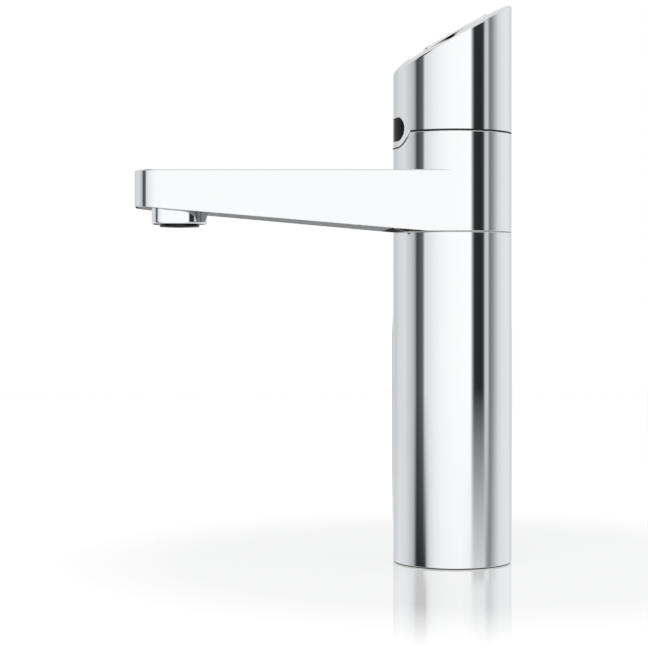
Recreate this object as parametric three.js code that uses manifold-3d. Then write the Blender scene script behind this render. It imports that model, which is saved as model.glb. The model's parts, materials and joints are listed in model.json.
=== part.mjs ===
// Boiling water tap for a worktop: a round chromed column, a collar with a flat tapered
// spout that swings on top of it, and a head whose sloping face carries the push pads.
// Millimetres, +Z up. The origin is the middle of the foot, on the worktop, and the spout
// points along -X, so the user stands at -X and the model is nearly symmetric about y = 0.

import * as THREE from 'three';
import { mergeVertices } from 'three/addons/utils/BufferGeometryUtils.js';
import Module from 'manifold-3d';

const wasm = await Module();
wasm.setup();

// ---------------------------------------------------------------------------------------
// Driving dimensions
// ---------------------------------------------------------------------------------------

// Clearances
const PUSH_FIT = 0.1; // radial gap round a piece that is pushed or screwed into another
const SEAT_GAP = 0.05; // gap under a piece that sits flat on another
const RUNNING_FIT = 0.16; // radial gap in the swivel bearings
const LOOSE_FIT = 0.3; // gap round pieces that only pass through an opening

// Round body shared by column, collar and head
const BODY_RADIUS = 30;
const EDGE_ROUND = 0.8; // small rounding of the turned edges
const BLIND_FLOOR = 0.8; // wall left under a blind hole
const POST_ROOT = 0.5; // how far a post reaches into the wall that carries it

// Column and foot
const COLUMN_TOP = 165.2;
const COLUMN_WALL = 2.5;
const FOOT_SEAL_THICKNESS = 0.6;
const FOOT_SEAL_INSET = 0.6; // how far the seal stays inside the column's outside
const FOOT_BOSS_STEP = 5.9; // from the foot's outside in to the boss that the seal goes round
const FOOT_TOP = 14;
const STUD_HOLE_RADIUS = 3.4; // M8 fixing studs
const STUD_HOLE_DEPTH = 11;
const STUD_EDGE = 4.5; // from the boss's edge in to the middle of each stud

// Hoses and cable
const HOSE_RADIUS = 4;
const HOSE_X = -6;
const HOSE_Y = 8; // boiling at +y, chilled at -y
const HOSE_BEND_RADIUS = 24;
const QUARTER_PULL = 0.5523; // control length that draws a quarter circle, in radii
const VENT_RADIUS = 2.5;
const VENT_X = 8;
const CABLE_RADIUS = 2.2;
const CABLE_X = 5.5;
const CABLE_Y = -9.5;
const LEAD_RADIUS = 1;
const LEAD_X = -12;

// Push-in inlet fittings in the foot
const INLET_LIFT = 0.4; // the fittings stop this far above the worktop
const INLET_SOCKET_RADIUS = 3.1; // takes the supply tube from below
const VENT_SOCKET_RADIUS = 2;
const INLET_SOCKET_DEPTH = 9;
const INLET_WEB = 2;
const INLET_BODY_WALL = 1; // body radius beyond the hose
const INLET_CAP_WALL = 2.2; // cap radius beyond the hose
const INLET_CAP_HEIGHT = 8;
const INLET_BORE_RADIUS = 1.4;

// Swivel at the top of the column
const HOUSING_LENGTH = 43;
const HOUSING_WALL = 2;
const HOUSING_FLOOR = 5;
const HOUSING_FLOOR_LIP = 0.5; // how far the housing's floor reaches in under the spigot
const RETAINER_POCKET = 0.8; // the bore below the lower bush is narrower by this
const BUSH_WALL = 3.14;
const SPIGOT_WALL = 4;
const SPIGOT_FLANGE_FIT = 0.4; // radial gap between the spigot's flange and the collar
const SPIGOT_FLANGE_THICKNESS = 3;
const LOWER_BUSH_DEPTH = 27.2; // from the column's top down to the bush's lower end
const LOWER_BUSH_LENGTH = 10;
const O_RING_ROOM = 3.6; // height between the two bushes
const BUSH_FLANGE_THICKNESS = 0.4; // shows as the fine pale line between column and collar
const BUSH_FLANGE_INSET = 0.5;
const RETAINER_THICKNESS = 1.5;
const RETAINER_GROOVE_DEPTH = 1.3;
const RETAINER_RIM = 2.2; // how far the ring stands out of the spigot
const RETAINER_GAP_ANGLE = 12; // degrees each side of the ring's opening
const STOP_PIN_RADIUS = 1.2;
const SWIVEL_LIMIT = 60; // degrees each way
const STOP_SLACK = 0.5; // degrees left between pin and notch at the limit
const STOP_NOTCH_HEIGHT = 7;

// Collar and spout
const COLLAR_HEIGHT = 49;
const COLLAR_WALL = 3;
const COLLAR_FLOOR = 3.4;
const SPOUT_REACH = 160; // from the tap's axis to the tip
const SPOUT_HEIGHT = 30.05; // at the collar
const SPOUT_TAPER = 4; // degrees that each side turns in
const SPOUT_TIP_RADIUS = 12; // upright corners of the tip
const SPOUT_WALL = 2.4;
const UNDERSIDE_START = 10.7; // in front of the axis, where the underside leaves the column
const UNDERSIDE_SLOPE = 4.86; // degrees
const CHANNEL_FLOOR_LIFT = 1; // floor of the hose channel above the collar's floor
const CHANNEL_OVERLAP = 7; // how far the hose channel reaches back into the collar's bore
const PLATE_SETOFF = 3; // from the column to the root edge of the underside plate
const PLATE_LEDGE = 1.2;
const PLATE_THICKNESS = 1.5;
const PLATE_RECESS = 0.15;
const PLATE_BOSS_RADIUS = 3;
const PLATE_BOSS_SETBACK = 17; // from the plate's root edge to its rear screws
const PLATE_BOSS_TO_NOZZLE = 19; // from its front screws to the nozzle's middle
const PLATE_BOSS_EDGE = 3.8; // from the spout's inner wall to the boss's middle
const PLATE_SCREW_GRIP = 5; // how deep the plate's screws go into their bosses

// Nozzle
const NOZZLE_SETBACK = 23; // from the spout's tip to the nozzle's middle
const NOZZLE_LENGTH = 27.5;
const NOZZLE_WIDTH = 25;
const NOZZLE_CORNER = 6.5;
const NOZZLE_DROP = 6.3; // below the spout's underside
const NOZZLE_FLANGE_RIM = 1.6;
const MANIFOLD_SKIN = 0.8; // wall over and under the hoses' sockets
const MANIFOLD_LENGTH = 25;
const MANIFOLD_WIDTH = 30;
const MANIFOLD_CORNER = 3;
const MANIFOLD_NECK_RADIUS = 9;
const MANIFOLD_NECK_GAP = 0.5; // from the nozzle's inner step up to the neck
const MANIFOLD_PORT_DEPTH = 6;
const MANIFOLD_BORE_RADIUS = 3;
const MANIFOLD_PASSAGE_RADIUS = 1.8;
const AERATOR_RADIUS = 10;
const AERATOR_WALL = 1.8;
const AERATOR_DROP = 2; // below the nozzle
const AERATOR_HEIGHT = 7.3;
const WASHER_THICKNESS = 1.4;
const WASHER_BORE_RADIUS = 6.5;
const STRAIGHTENER_LIFT = 1.6; // above the aerator's mouth
const STRAIGHTENER_HEIGHT = 2.6;
const STRAIGHTENER_HOLE_RADIUS = 1;
const STRAIGHTENER_PITCH = 2.9;
const STRAIGHTENER_RINGS = 2; // rings of holes round the middle one
const STRAIGHTENER_HOLES = 6; // in the first ring, and as many more in each next one

// Head
const HEAD_GAP = 0.85; // shadow gap between collar and head
const HEAD_WALL = 3;
const HEAD_HEIGHT = 48.6; // from its lower edge to the sloping face, on the axis
const SLANT_ANGLE = 29.5; // degrees
const SLANT_RIM_ROUND = 2.4;
const HEAD_TOP_THICKNESS = 3;
const WINDOW_WIDTH = 29.5;
const WINDOW_HEIGHT = 11.7;
const WINDOW_LIFT = 1.3; // middle of the window above the head's lower edge
const WINDOW_RIM = 3; // width of the polished rim round the window
const WINDOW_RECESS = 0.3;
const WINDOW_THICKNESS = 2.2;
const WINDOW_PEG_RADIUS = 1.2;
const WINDOW_PEG_Y = 8.4;
const INDICATOR_BOARD_GAP = 3.9; // behind the lens
const INDICATOR_BOARD_THICKNESS = 1.2;
const INDICATOR_BOARD_WIDTH = 20.6;
const INDICATOR_BOARD_HEIGHT = 11;
const INDICATOR_LIGHT_RADIUS = 1.5;
const INDICATOR_LIGHT_LENGTH = 2;
const INDICATOR_LIGHT_Y = 4.2;

// Ring that joins head and collar
const RING_WALL = 2;
const RING_DEPTH = 10.55; // below the collar's top
const RING_RISE = 8.5; // above the head's lower edge
const RING_FLANGE_THICKNESS = 2.5;
const RING_FLANGE_WIDTH = 6.6;
const RING_NOTCH_HALF_WIDTH = 20;
const RING_NOTCH_DEPTH = 14.9; // how far the notch for the indicator reaches in
const LUG_HEIGHT = 6;
const LUG_WIDTH = 8;
const GRUB_SCREW_LIFT = 4.5; // above the head's lower edge
const GRUB_SCREW_RADIUS = 1.6;
const GRUB_SCREW_LENGTH = 4.6;
const GRUB_SCREW_SINK = 0.8; // below the head's outside
const HEX_SOCKET_RADIUS = 0.9;
const HEX_SOCKET_DEPTH = 1.5;

// Push pads, measured in the sloping face
const PAD_END_MARGIN = 11.8; // from the body's outside in to the pads' ends
const PAD_SIDE_MARGIN = 12.8; // from the body's outside in to the pads' long sides
const PAD_PARTING = 8.4; // between the two pads
const PAD_CORNER = 3.2;
const PAD_PROUD = 1.2;
const PAD_DISH = 0.6; // how much the pad's middle lies below its ends
const PAD_FLANGE_RIM = 1;
const PAD_GUIDE_END = 7.2; // from the pad's end to its guide pin
const LOCK_KEY_OFFSET = 7; // in front of the pads' ends
const LOCK_KEY_RADIUS = 3.6;
const LOCK_KEY_PROUD = 0.8;
const KEY_TRAVEL = 1;
const KEY_FLANGE_THICKNESS = 1.5;
const KEY_FLANGE_CLEARANCE = 0.2; // under the head's top wall
const KEY_STEM_RADIUS = 1.9;
const GUIDE_PIN_RADIUS = 1.2;
const GUIDE_FIT = 0.15;
const STEM_TO_SWITCH = 0.05; // left between stem and switch when the key is fully down
const SPRING_RADIUS = 2.7;
const SPRING_WIRE = 0.5; // wire diameter
const SPRING_TURNS = 3;

// Key carrier and board, depths below the sloping face
const CARRIER_DEPTH = 10;
const CARRIER_THICKNESS = 2;
const CARRIER_POST_RADIUS = 2.2;
const CARRIER_POST_MARGIN = 16; // from the body's outside in to the posts
const BOARD_DEPTH = 16.9;
const BOARD_THICKNESS = 1.6;
const BOARD_CLEARANCE = 1; // to the head's bore
const SPACER_RADIUS = 2.6;
const SWITCH_SIZE = 6;
const SWITCH_HEIGHT = 1.5;
const SWITCH_PLUNGER_HEIGHT = 0.7;
const SWITCH_PLUNGER_RADIUS = 1.6;
const CONNECTOR_LENGTH = 8;
const CONNECTOR_WIDTH = 6;
const CONNECTOR_HEIGHT = 5;

// Screws
const SCREW_RADIUS = 1.2;
const SCREW_HEAD_RADIUS = 2.15;
const SCREW_HEAD_HEIGHT = 1.4;
const SCREW_PILOT_GAP = 0.15;
const SCREW_HOLE_GAP = 0.3;
const SCREW_POINT = 0.6; // radius of a screw's point, as a share of its shank's
const SCREW_CROWN = 0.8; // radius of a pan head's top, as a share of its own
const SPIGOT_SCREW_ANGLES = [0, 110, -110]; // degrees from the back
const LUG_ANGLES = [0, 120, -120];

// Facets
const BODY_FACETS = 60;
const INNER_FACETS = 30;
const NOZZLE_FACETS = 24;
const SMALL_FACETS = 12;
const SCREW_FACETS = 8;
const HOSE_SIDES = 6;
const KEY_FACETS = 20;
const HOSE_STEP = 11; // length of each straight facet of a hose
const PAST = 1; // how far a cutter runs past the face that it opens

// ---------------------------------------------------------------------------------------
// Sizes that follow
// ---------------------------------------------------------------------------------------

const { degToRad } = THREE.MathUtils;
const slantSlope = Math.tan(degToRad(SLANT_ANGLE));
const slantCos = Math.cos(degToRad(SLANT_ANGLE));
const undersideSlope = Math.tan(degToRad(UNDERSIDE_SLOPE));
const columnBore = BODY_RADIUS - COLUMN_WALL;
const housingRadius = columnBore - PUSH_FIT;
const housingBore = housingRadius - HOUSING_WALL;
const housingBottom = COLUMN_TOP - HOUSING_LENGTH;
const housingFloorTop = housingBottom + HOUSING_FLOOR;
const footBossRadius = housingRadius - FOOT_BOSS_STEP;
const studOffset = footBossRadius - STUD_EDGE;
const bushRadius = housingBore - PUSH_FIT;
const spigotRadius = bushRadius - BUSH_WALL - RUNNING_FIT;
const spigotBore = spigotRadius - SPIGOT_WALL;
const housingFloorBore = spigotBore - HOUSING_FLOOR_LIP;
const lowerBushBottom = COLUMN_TOP - LOWER_BUSH_DEPTH;
const spigotBottom = housingFloorTop + LOOSE_FIT;
const stopNotchTop = spigotBottom + STOP_NOTCH_HEIGHT;
const upperBushBottom = lowerBushBottom + LOWER_BUSH_LENGTH + O_RING_ROOM;
const collarBottom = COLUMN_TOP + BUSH_FLANGE_THICKNESS + SEAT_GAP;
const collarFloorTop = collarBottom + COLLAR_FLOOR;
const collarTop = collarBottom + COLLAR_HEIGHT;
const collarBore = BODY_RADIUS - COLLAR_WALL;
const spigotFlangeRadius = collarBore - SPIGOT_FLANGE_FIT;
const flangeTop = collarFloorTop + SEAT_GAP + SPIGOT_FLANGE_THICKNESS;
const spoutTop = collarBottom + SPOUT_HEIGHT;
const spoutCeiling = spoutTop - SPOUT_WALL;
const headBottom = collarTop + HEAD_GAP;
const slantAxisZ = headBottom + HEAD_HEIGHT;
const windowZ = headBottom + WINDOW_LIFT;
const headBore = BODY_RADIUS - HEAD_WALL;
const ringRadius = Math.min(collarBore, headBore) - PUSH_FIT;
const ringFlangeBore = ringRadius - RING_FLANGE_WIDTH;
const ringNotchX = RING_NOTCH_DEPTH - ringRadius;
const ringBottom = collarTop - RING_DEPTH;
const ringTop = headBottom + RING_RISE;
const grubScrewZ = headBottom + GRUB_SCREW_LIFT;
const channelStart = collarBore - CHANNEL_OVERLAP;
const plateStart = BODY_RADIUS + PLATE_SETOFF;
const nozzleX = SPOUT_REACH - NOZZLE_SETBACK; // in front of the axis, as are the screws
const plateBossRear = plateStart + PLATE_BOSS_SETBACK;
const plateBossFront = nozzleX - PLATE_BOSS_TO_NOZZLE;
const nozzleBottom = undersideZ(nozzleX) - NOZZLE_DROP;
const aeratorBottom = nozzleBottom - AERATOR_DROP;
const aeratorTop = aeratorBottom + AERATOR_HEIGHT;
const nozzleStep = aeratorTop + WASHER_THICKNESS + 2 * SEAT_GAP;
const manifoldTop = spoutCeiling - LOOSE_FIT;
const hoseRunZ = manifoldTop - MANIFOLD_SKIN - LOOSE_FIT / 2 - HOSE_RADIUS;
const manifoldBottom = hoseRunZ - HOSE_RADIUS - LOOSE_FIT / 2 - MANIFOLD_SKIN;
const nozzleTop = manifoldBottom - SEAT_GAP;
const lensRadius = BODY_RADIUS - WINDOW_RECESS;
const indicatorBoardX = -(lensRadius - WINDOW_THICKNESS - INDICATOR_BOARD_GAP);
const padLength = 2 * (BODY_RADIUS - PAD_END_MARGIN);
const padWidth = BODY_RADIUS - PAD_SIDE_MARGIN - PAD_PARTING / 2;
const padY = (PAD_PARTING + padWidth) / 2;
const padGuideX = padLength / 2 - PAD_GUIDE_END;
const carrierPostX = BODY_RADIUS - CARRIER_POST_MARGIN;
const keyFlangeTop = -(HEAD_TOP_THICKNESS + KEY_FLANGE_CLEARANCE);
const keyFlangeBottom = keyFlangeTop - KEY_FLANGE_THICKNESS;
const switchPlungerTop = -BOARD_DEPTH + SWITCH_HEIGHT + SWITCH_PLUNGER_HEIGHT;
const stemBottom = switchPlungerTop + KEY_TRAVEL + STEM_TO_SWITCH;

/** Height of the sloping face, or of a plane the given depth below it, at x. */
function slantZ(x, depth = 0) {
  return slantAxisZ + slantSlope * x - depth / slantCos;
}

/** Height of the spout's underside the given distance in front of the axis. */
function undersideZ(distance) {
  return collarBottom + undersideSlope * (distance - UNDERSIDE_START);
}

/** Half the spout's width at a distance in front of the axis, less an inset all round. */
function spoutHalfWidth(distance, inset = 0) {
  const taper = degToRad(SPOUT_TAPER);
  return (BODY_RADIUS - inset) / Math.cos(taper) - distance * Math.tan(taper);
}

// ---------------------------------------------------------------------------------------
// Shapes and solids
// ---------------------------------------------------------------------------------------

/** A solid of revolution about Z from [radius, height] pairs, going up on its outside. */
function turned(profile, facets) {
  const points = profile.map(([radius, height]) => new THREE.Vector2(radius, height));
  return new THREE.LatheGeometry(points, facets).rotateX(Math.PI / 2);
}

function disc(radius, bottom, top, facets = INNER_FACETS) {
  return turned([[0, bottom], [radius, bottom], [radius, top], [0, top]], facets);
}

function ring(bore, radius, bottom, top, facets = INNER_FACETS) {
  const profile = [[bore, bottom], [radius, bottom], [radius, top], [bore, top], [bore, bottom]];
  return turned(profile, facets);
}

/** A shape drawn in x and y, as an upright solid from bottom to top. */
function upright(shape, bottom, top, curveSegments = 4) {
  const settings = { depth: top - bottom, bevelEnabled: false, curveSegments };
  return new THREE.ExtrudeGeometry(shape, settings).translate(0, 0, bottom);
}

/** A shape drawn in y and z, as a solid that runs along X from start to end. */
function alongX(shape, start, end, curveSegments = 6) {
  const settings = { depth: end - start, bevelEnabled: false, curveSegments };
  const turn = new THREE.Matrix4().makeBasis(
    new THREE.Vector3(0, 1, 0),
    new THREE.Vector3(0, 0, 1),
    new THREE.Vector3(1, 0, 0),
  );
  return new THREE.ExtrudeGeometry(shape, settings).applyMatrix4(turn).translate(start, 0, 0);
}

/** A polygon drawn in x and z, as a solid that runs across the tap, halfWidth each way. */
function across(corners, halfWidth) {
  const shape = new THREE.Shape(corners.map(([x, z]) => new THREE.Vector2(x, z)));
  const turn = new THREE.Matrix4().makeBasis(
    new THREE.Vector3(1, 0, 0),
    new THREE.Vector3(0, 0, 1),
    new THREE.Vector3(0, -1, 0),
  );
  const settings = { depth: 2 * halfWidth, bevelEnabled: false };
  return new THREE.ExtrudeGeometry(shape, settings).applyMatrix4(turn).translate(0, halfWidth, 0);
}

function roundedRectangle(length, width, corner, x = 0, y = 0) {
  const shape = new THREE.Shape();
  const a = length / 2;
  const b = width / 2;
  shape.moveTo(x - a + corner, y - b);
  shape.lineTo(x + a - corner, y - b);
  shape.absarc(x + a - corner, y - b + corner, corner, -Math.PI / 2, 0);
  shape.absarc(x + a - corner, y + b - corner, corner, 0, Math.PI / 2);
  shape.absarc(x - a + corner, y + b - corner, corner, Math.PI / 2, Math.PI);
  shape.absarc(x - a + corner, y - b + corner, corner, Math.PI, 1.5 * Math.PI);
  return shape;
}

/** A sector of a disc round the tap's axis, between two angles in radians from the back. */
function sector(radius, start, end) {
  const shape = new THREE.Shape();
  shape.moveTo(0, 0);
  shape.lineTo(radius * Math.cos(start), radius * Math.sin(start));
  shape.absarc(0, 0, radius, start, end);
  return shape;
}

/** The window's outline or one grown from it, drawn in y and z. */
function windowOutline(growth) {
  const height = WINDOW_HEIGHT / 2 + growth;
  const centre = WINDOW_WIDTH / 2 - WINDOW_HEIGHT / 2;
  const shape = new THREE.Shape();
  shape.moveTo(-centre, windowZ - height);
  shape.lineTo(centre, windowZ - height);
  shape.absarc(centre, windowZ, height, -Math.PI / 2, Math.PI / 2);
  shape.lineTo(-centre, windowZ + height);
  shape.absarc(-centre, windowZ, height, Math.PI / 2, 1.5 * Math.PI);
  return shape;
}

/** The spout's plan, less an inset all round: two sides that run off the round body. */
function spoutOutline(inset) {
  const taper = degToRad(SPOUT_TAPER);
  const radius = BODY_RADIUS - inset;
  const corner = SPOUT_TIP_RADIUS - inset;
  const tip = SPOUT_REACH - inset;
  const start = new THREE.Vector2(-radius * Math.sin(taper), radius * Math.cos(taper));
  const cornerX = -(tip - corner);
  const sideOffset = corner / Math.cos(taper);
  const cornerY = spoutHalfWidth(tip - corner, inset) - sideOffset;
  const shape = new THREE.Shape();
  shape.moveTo(start.x, -start.y);
  shape.lineTo(start.x, start.y);
  shape.absarc(cornerX, cornerY, corner, Math.PI / 2 + taper, Math.PI);
  shape.absarc(cornerX, -cornerY, corner, Math.PI, 1.5 * Math.PI - taper);
  return shape;
}

/** A closed solid through rings of points, each with the same count, capped at both ends. */
function lofted(rings) {
  const count = rings[0].length;
  const positions = rings.flat().flatMap((point) => point.toArray());
  const faces = [];
  for (let level = 0; level + 1 < rings.length; level += 1) {
    for (let i = 0; i < count; i += 1) {
      const a = level * count + i;
      const b = level * count + ((i + 1) % count);
      faces.push(a, b, b + count, a, b + count, a + count);
    }
  }
  const last = (rings.length - 1) * count;
  for (let i = 1; i + 1 < count; i += 1) {
    faces.push(0, i + 1, i);
    faces.push(last, last + i, last + i + 1);
  }
  const geometry = new THREE.BufferGeometry();
  geometry.setAttribute('position', new THREE.Float32BufferAttribute(positions, 3));
  geometry.setIndex(faces);
  return geometry;
}

/** A polygon of a hose's section swept along a path. */
function swept(path, radius, steps, sides = HOSE_SIDES) {
  const corners = Array.from({ length: sides }, (_, i) => {
    const angle = (2 * Math.PI * i) / sides;
    return new THREE.Vector2(radius * Math.cos(angle), radius * Math.sin(angle));
  });
  const settings = { steps, bevelEnabled: false, extrudePath: path };
  return new THREE.ExtrudeGeometry(new THREE.Shape(corners), settings);
}

/** A three.js geometry as a solid that can be joined and cut. */
function solid(geometry) {
  const bare = geometry.clone();
  bare.deleteAttribute('normal');
  bare.deleteAttribute('uv');
  const merged = mergeVertices(bare, 1e-5);
  const triangles = [];
  for (let i = 0; i < merged.index.count; i += 3) {
    const [a, b, c] = [0, 1, 2].map((k) => merged.index.getX(i + k));
    if (a !== b && b !== c && c !== a) {
      triangles.push(a, b, c);
    }
  }
  const mesh = new wasm.Mesh({
    numProp: 3,
    vertProperties: new Float32Array(merged.attributes.position.array),
    triVerts: new Uint32Array(triangles),
  });
  return new wasm.Manifold(mesh);
}

/** A solid back as a three.js geometry. */
function geometryOf(manifold) {
  const mesh = manifold.getMesh();
  const geometry = new THREE.BufferGeometry();
  geometry.setAttribute('position', new THREE.BufferAttribute(mesh.vertProperties, 3));
  geometry.setIndex(new THREE.BufferAttribute(mesh.triVerts, 1));
  geometry.computeVertexNormals();
  return geometry;
}

/** Cuts each of the given geometries out of a solid. */
function cut(body, ...tools) {
  return tools.reduce((rest, tool) => rest.subtract(solid(tool)), body);
}

/** Adds each of the given geometries to a solid. */
function join(body, ...pieces) {
  return pieces.reduce((whole, piece) => whole.add(solid(piece)), body);
}

/** A pan-head screw: head above z = 0, shank below it. */
function panScrew(shankLength) {
  const profile = [
    [0, -shankLength],
    [SCREW_RADIUS * SCREW_POINT, -shankLength],
    [SCREW_RADIUS, -shankLength + SCREW_RADIUS * SCREW_POINT],
    [SCREW_RADIUS, 0],
    [SCREW_HEAD_RADIUS, 0],
    [SCREW_HEAD_RADIUS * SCREW_CROWN, SCREW_HEAD_HEIGHT],
    [0, SCREW_HEAD_HEIGHT],
  ];
  return turned(profile, SCREW_FACETS);
}

/** A countersunk screw whose flat head lies at z = 0, shank below it. */
function countersunkScrew(shankLength) {
  const headDepth = SCREW_HEAD_RADIUS - SCREW_RADIUS;
  const profile = [
    [0, -shankLength],
    [SCREW_RADIUS * SCREW_POINT, -shankLength],
    [SCREW_RADIUS, -shankLength + SCREW_RADIUS * SCREW_POINT],
    [SCREW_RADIUS, -headDepth],
    [SCREW_HEAD_RADIUS, 0],
    [0, 0],
  ];
  return turned(profile, SCREW_FACETS);
}

/** Cutter of the hole that a screw's thread grips in. */
function screwPilot(bottom, top) {
  return disc(SCREW_RADIUS + SCREW_PILOT_GAP, bottom, top, SCREW_FACETS);
}

/** A point on a circle round the tap's axis, at an angle in degrees from the back. */
function onCircle(radius, angle, z = 0) {
  const turn = degToRad(angle);
  return new THREE.Vector3(radius * Math.cos(turn), radius * Math.sin(turn), z);
}

// ---------------------------------------------------------------------------------------
// Finishes
// ---------------------------------------------------------------------------------------

function finish(color, roughness, metalness) {
  return new THREE.MeshStandardMaterial({ color, roughness, metalness });
}

const chrome = finish('#d9dcdf', 0.06, 1);
const satinMetal = finish('#a9abad', 0.35, 1);
const brass = finish('#b99552', 0.3, 1);
const steel = finish('#b7babd', 0.3, 1);
const springSteel = finish('#a5a8aa', 0.25, 1);
const acetal = finish('#dcdcd6', 0.45, 0);
const blackRubber = finish('#1a1a1b', 0.75, 0);
const blackPlastic = finish('#161618', 0.35, 0);
const darkGlass = finish('#0a0b0e', 0.05, 0);
const silicone = finish('#e4e2da', 0.5, 0);
const boardGreen = finish('#1f5a3a', 0.5, 0);
const lightRed = finish('#c22a20', 0.3, 0);
const lightBlue = finish('#2a5fc2', 0.3, 0);

// ---------------------------------------------------------------------------------------
// Foot and column
// ---------------------------------------------------------------------------------------

function columnShell() {
  const rim = Array.from({ length: 3 }, (_, i) => {
    const angle = (i / 2) * (Math.PI / 2);
    const inward = EDGE_ROUND * (1 - Math.cos(angle));
    const drop = EDGE_ROUND * (1 - Math.sin(angle));
    return [BODY_RADIUS - inward, COLUMN_TOP - drop];
  });
  const profile = [
    [columnBore, FOOT_SEAL_THICKNESS],
    [BODY_RADIUS, FOOT_SEAL_THICKNESS],
    ...rim,
    [columnBore, COLUMN_TOP],
    [columnBore, FOOT_SEAL_THICKNESS],
  ];
  return turned(profile, BODY_FACETS);
}

function footSeal() {
  const outside = BODY_RADIUS - FOOT_SEAL_INSET;
  return ring(footBossRadius + PUSH_FIT, outside, 0, FOOT_SEAL_THICKNESS);
}

/** Where each line enters the foot, with the radius of what goes up from there. */
const inlets = {
  boiling: { x: HOSE_X, y: HOSE_Y, hose: HOSE_RADIUS, socket: INLET_SOCKET_RADIUS },
  chilled: { x: HOSE_X, y: -HOSE_Y, hose: HOSE_RADIUS, socket: INLET_SOCKET_RADIUS },
  vent: { x: VENT_X, y: 0, hose: VENT_RADIUS, socket: VENT_SOCKET_RADIUS },
};

/** Cutter of the hole that a hose's or the cable's fitting stands in. */
function footHole(lineRadius) {
  const radius = lineRadius + INLET_BODY_WALL + PUSH_FIT;
  return disc(radius, -PAST, FOOT_TOP + PAST, SMALL_FACETS);
}

function footInsert() {
  const outside = housingRadius;
  const profile = [
    [0, 0],
    [footBossRadius, 0],
    [footBossRadius, FOOT_SEAL_THICKNESS + SEAT_GAP],
    [outside, FOOT_SEAL_THICKNESS + SEAT_GAP],
    [outside, FOOT_TOP],
    [0, FOOT_TOP],
  ];
  let body = solid(turned(profile, INNER_FACETS));
  for (const { x, y, hose } of Object.values(inlets)) {
    body = cut(body, footHole(hose).translate(x, y, 0));
  }
  body = cut(body, footHole(CABLE_RADIUS).translate(CABLE_X, CABLE_Y, 0));
  for (const side of [-1, 1]) {
    const studHole = disc(STUD_HOLE_RADIUS, -PAST, STUD_HOLE_DEPTH, SMALL_FACETS);
    body = cut(body, studHole.translate(side * studOffset, 0, 0));
  }
  return geometryOf(body);
}

/** Height at which a hose ends inside the cap of its fitting. */
const hoseStart = INLET_LIFT + INLET_SOCKET_DEPTH + INLET_WEB + LOOSE_FIT;

function inletFitting({ x, y, hose, socket }) {
  const body = hose + INLET_BODY_WALL;
  const cap = hose + INLET_CAP_WALL;
  const capBottom = FOOT_TOP + SEAT_GAP;
  const capTop = capBottom + INLET_CAP_HEIGHT;
  const socketTop = INLET_LIFT + INLET_SOCKET_DEPTH;
  const webTop = socketTop + INLET_WEB;
  const profile = [
    [socket, INLET_LIFT],
    [body, INLET_LIFT],
    [body, capBottom],
    [cap, capBottom],
    [cap, capTop - EDGE_ROUND],
    [cap - EDGE_ROUND, capTop],
    [hose + LOOSE_FIT / 2, capTop],
    [hose + LOOSE_FIT / 2, webTop],
    [INLET_BORE_RADIUS, webTop],
    [INLET_BORE_RADIUS, socketTop],
    [socket, socketTop],
    [socket, INLET_LIFT],
  ];
  return turned(profile, SMALL_FACETS).translate(x, y, 0);
}

/** Gland that the control cable enters through, with its clamping cap on top. */
function cableGland() {
  const body = CABLE_RADIUS + INLET_BODY_WALL;
  const cap = CABLE_RADIUS + INLET_CAP_WALL;
  const bore = CABLE_RADIUS + LOOSE_FIT / 2;
  const capBottom = FOOT_TOP + SEAT_GAP;
  const capTop = capBottom + INLET_CAP_HEIGHT;
  const profile = [
    [bore, INLET_LIFT],
    [body, INLET_LIFT],
    [body, capBottom],
    [cap, capBottom],
    [cap, capTop - EDGE_ROUND],
    [cap - EDGE_ROUND, capTop],
    [bore, capTop],
    [bore, INLET_LIFT],
  ];
  return turned(profile, SMALL_FACETS).translate(CABLE_X, CABLE_Y, 0);
}

// ---------------------------------------------------------------------------------------
// Swivel
// ---------------------------------------------------------------------------------------

/** Turned sleeve fixed in the column's top: it holds both bushes, the O-ring and the stop. */
function swivelHousing() {
  const pocket = housingBore - RETAINER_POCKET;
  const profile = [
    [housingFloorBore, housingBottom],
    [housingRadius, housingBottom],
    [housingRadius, COLUMN_TOP],
    [housingBore, COLUMN_TOP],
    [housingBore, lowerBushBottom],
    [pocket, lowerBushBottom],
    [pocket, housingFloorTop],
    [housingFloorBore, housingFloorTop],
    [housingFloorBore, housingBottom],
  ];
  const holeBottom = housingBottom - PAST;
  const hole = disc(STOP_PIN_RADIUS + SEAT_GAP, holeBottom, housingFloorTop + PAST, SCREW_FACETS);
  hole.translate(spigotBore + SPIGOT_WALL / 2, 0, 0);
  return geometryOf(cut(solid(turned(profile, INNER_FACETS)), hole));
}

function stopPin() {
  const pin = disc(STOP_PIN_RADIUS, housingBottom, stopNotchTop - LOOSE_FIT, SCREW_FACETS);
  return pin.translate(spigotBore + SPIGOT_WALL / 2, 0, 0);
}

function lowerBush() {
  const bottom = lowerBushBottom + SEAT_GAP;
  const top = bottom + LOWER_BUSH_LENGTH;
  return ring(spigotRadius + RUNNING_FIT, bushRadius, bottom, top);
}

/** Upper bush, with the thin thrust flange that the collar turns on. */
function upperBush() {
  const bore = spigotRadius + RUNNING_FIT;
  const flangeBottom = COLUMN_TOP + SEAT_GAP / 2;
  const flangeTopZ = COLUMN_TOP + BUSH_FLANGE_THICKNESS;
  const profile = [
    [bore, upperBushBottom],
    [bushRadius, upperBushBottom],
    [bushRadius, flangeBottom],
    [BODY_RADIUS - BUSH_FLANGE_INSET, flangeBottom],
    [BODY_RADIUS - BUSH_FLANGE_INSET, flangeTopZ],
    [bore, flangeTopZ],
    [bore, upperBushBottom],
  ];
  return turned(profile, INNER_FACETS);
}

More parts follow.
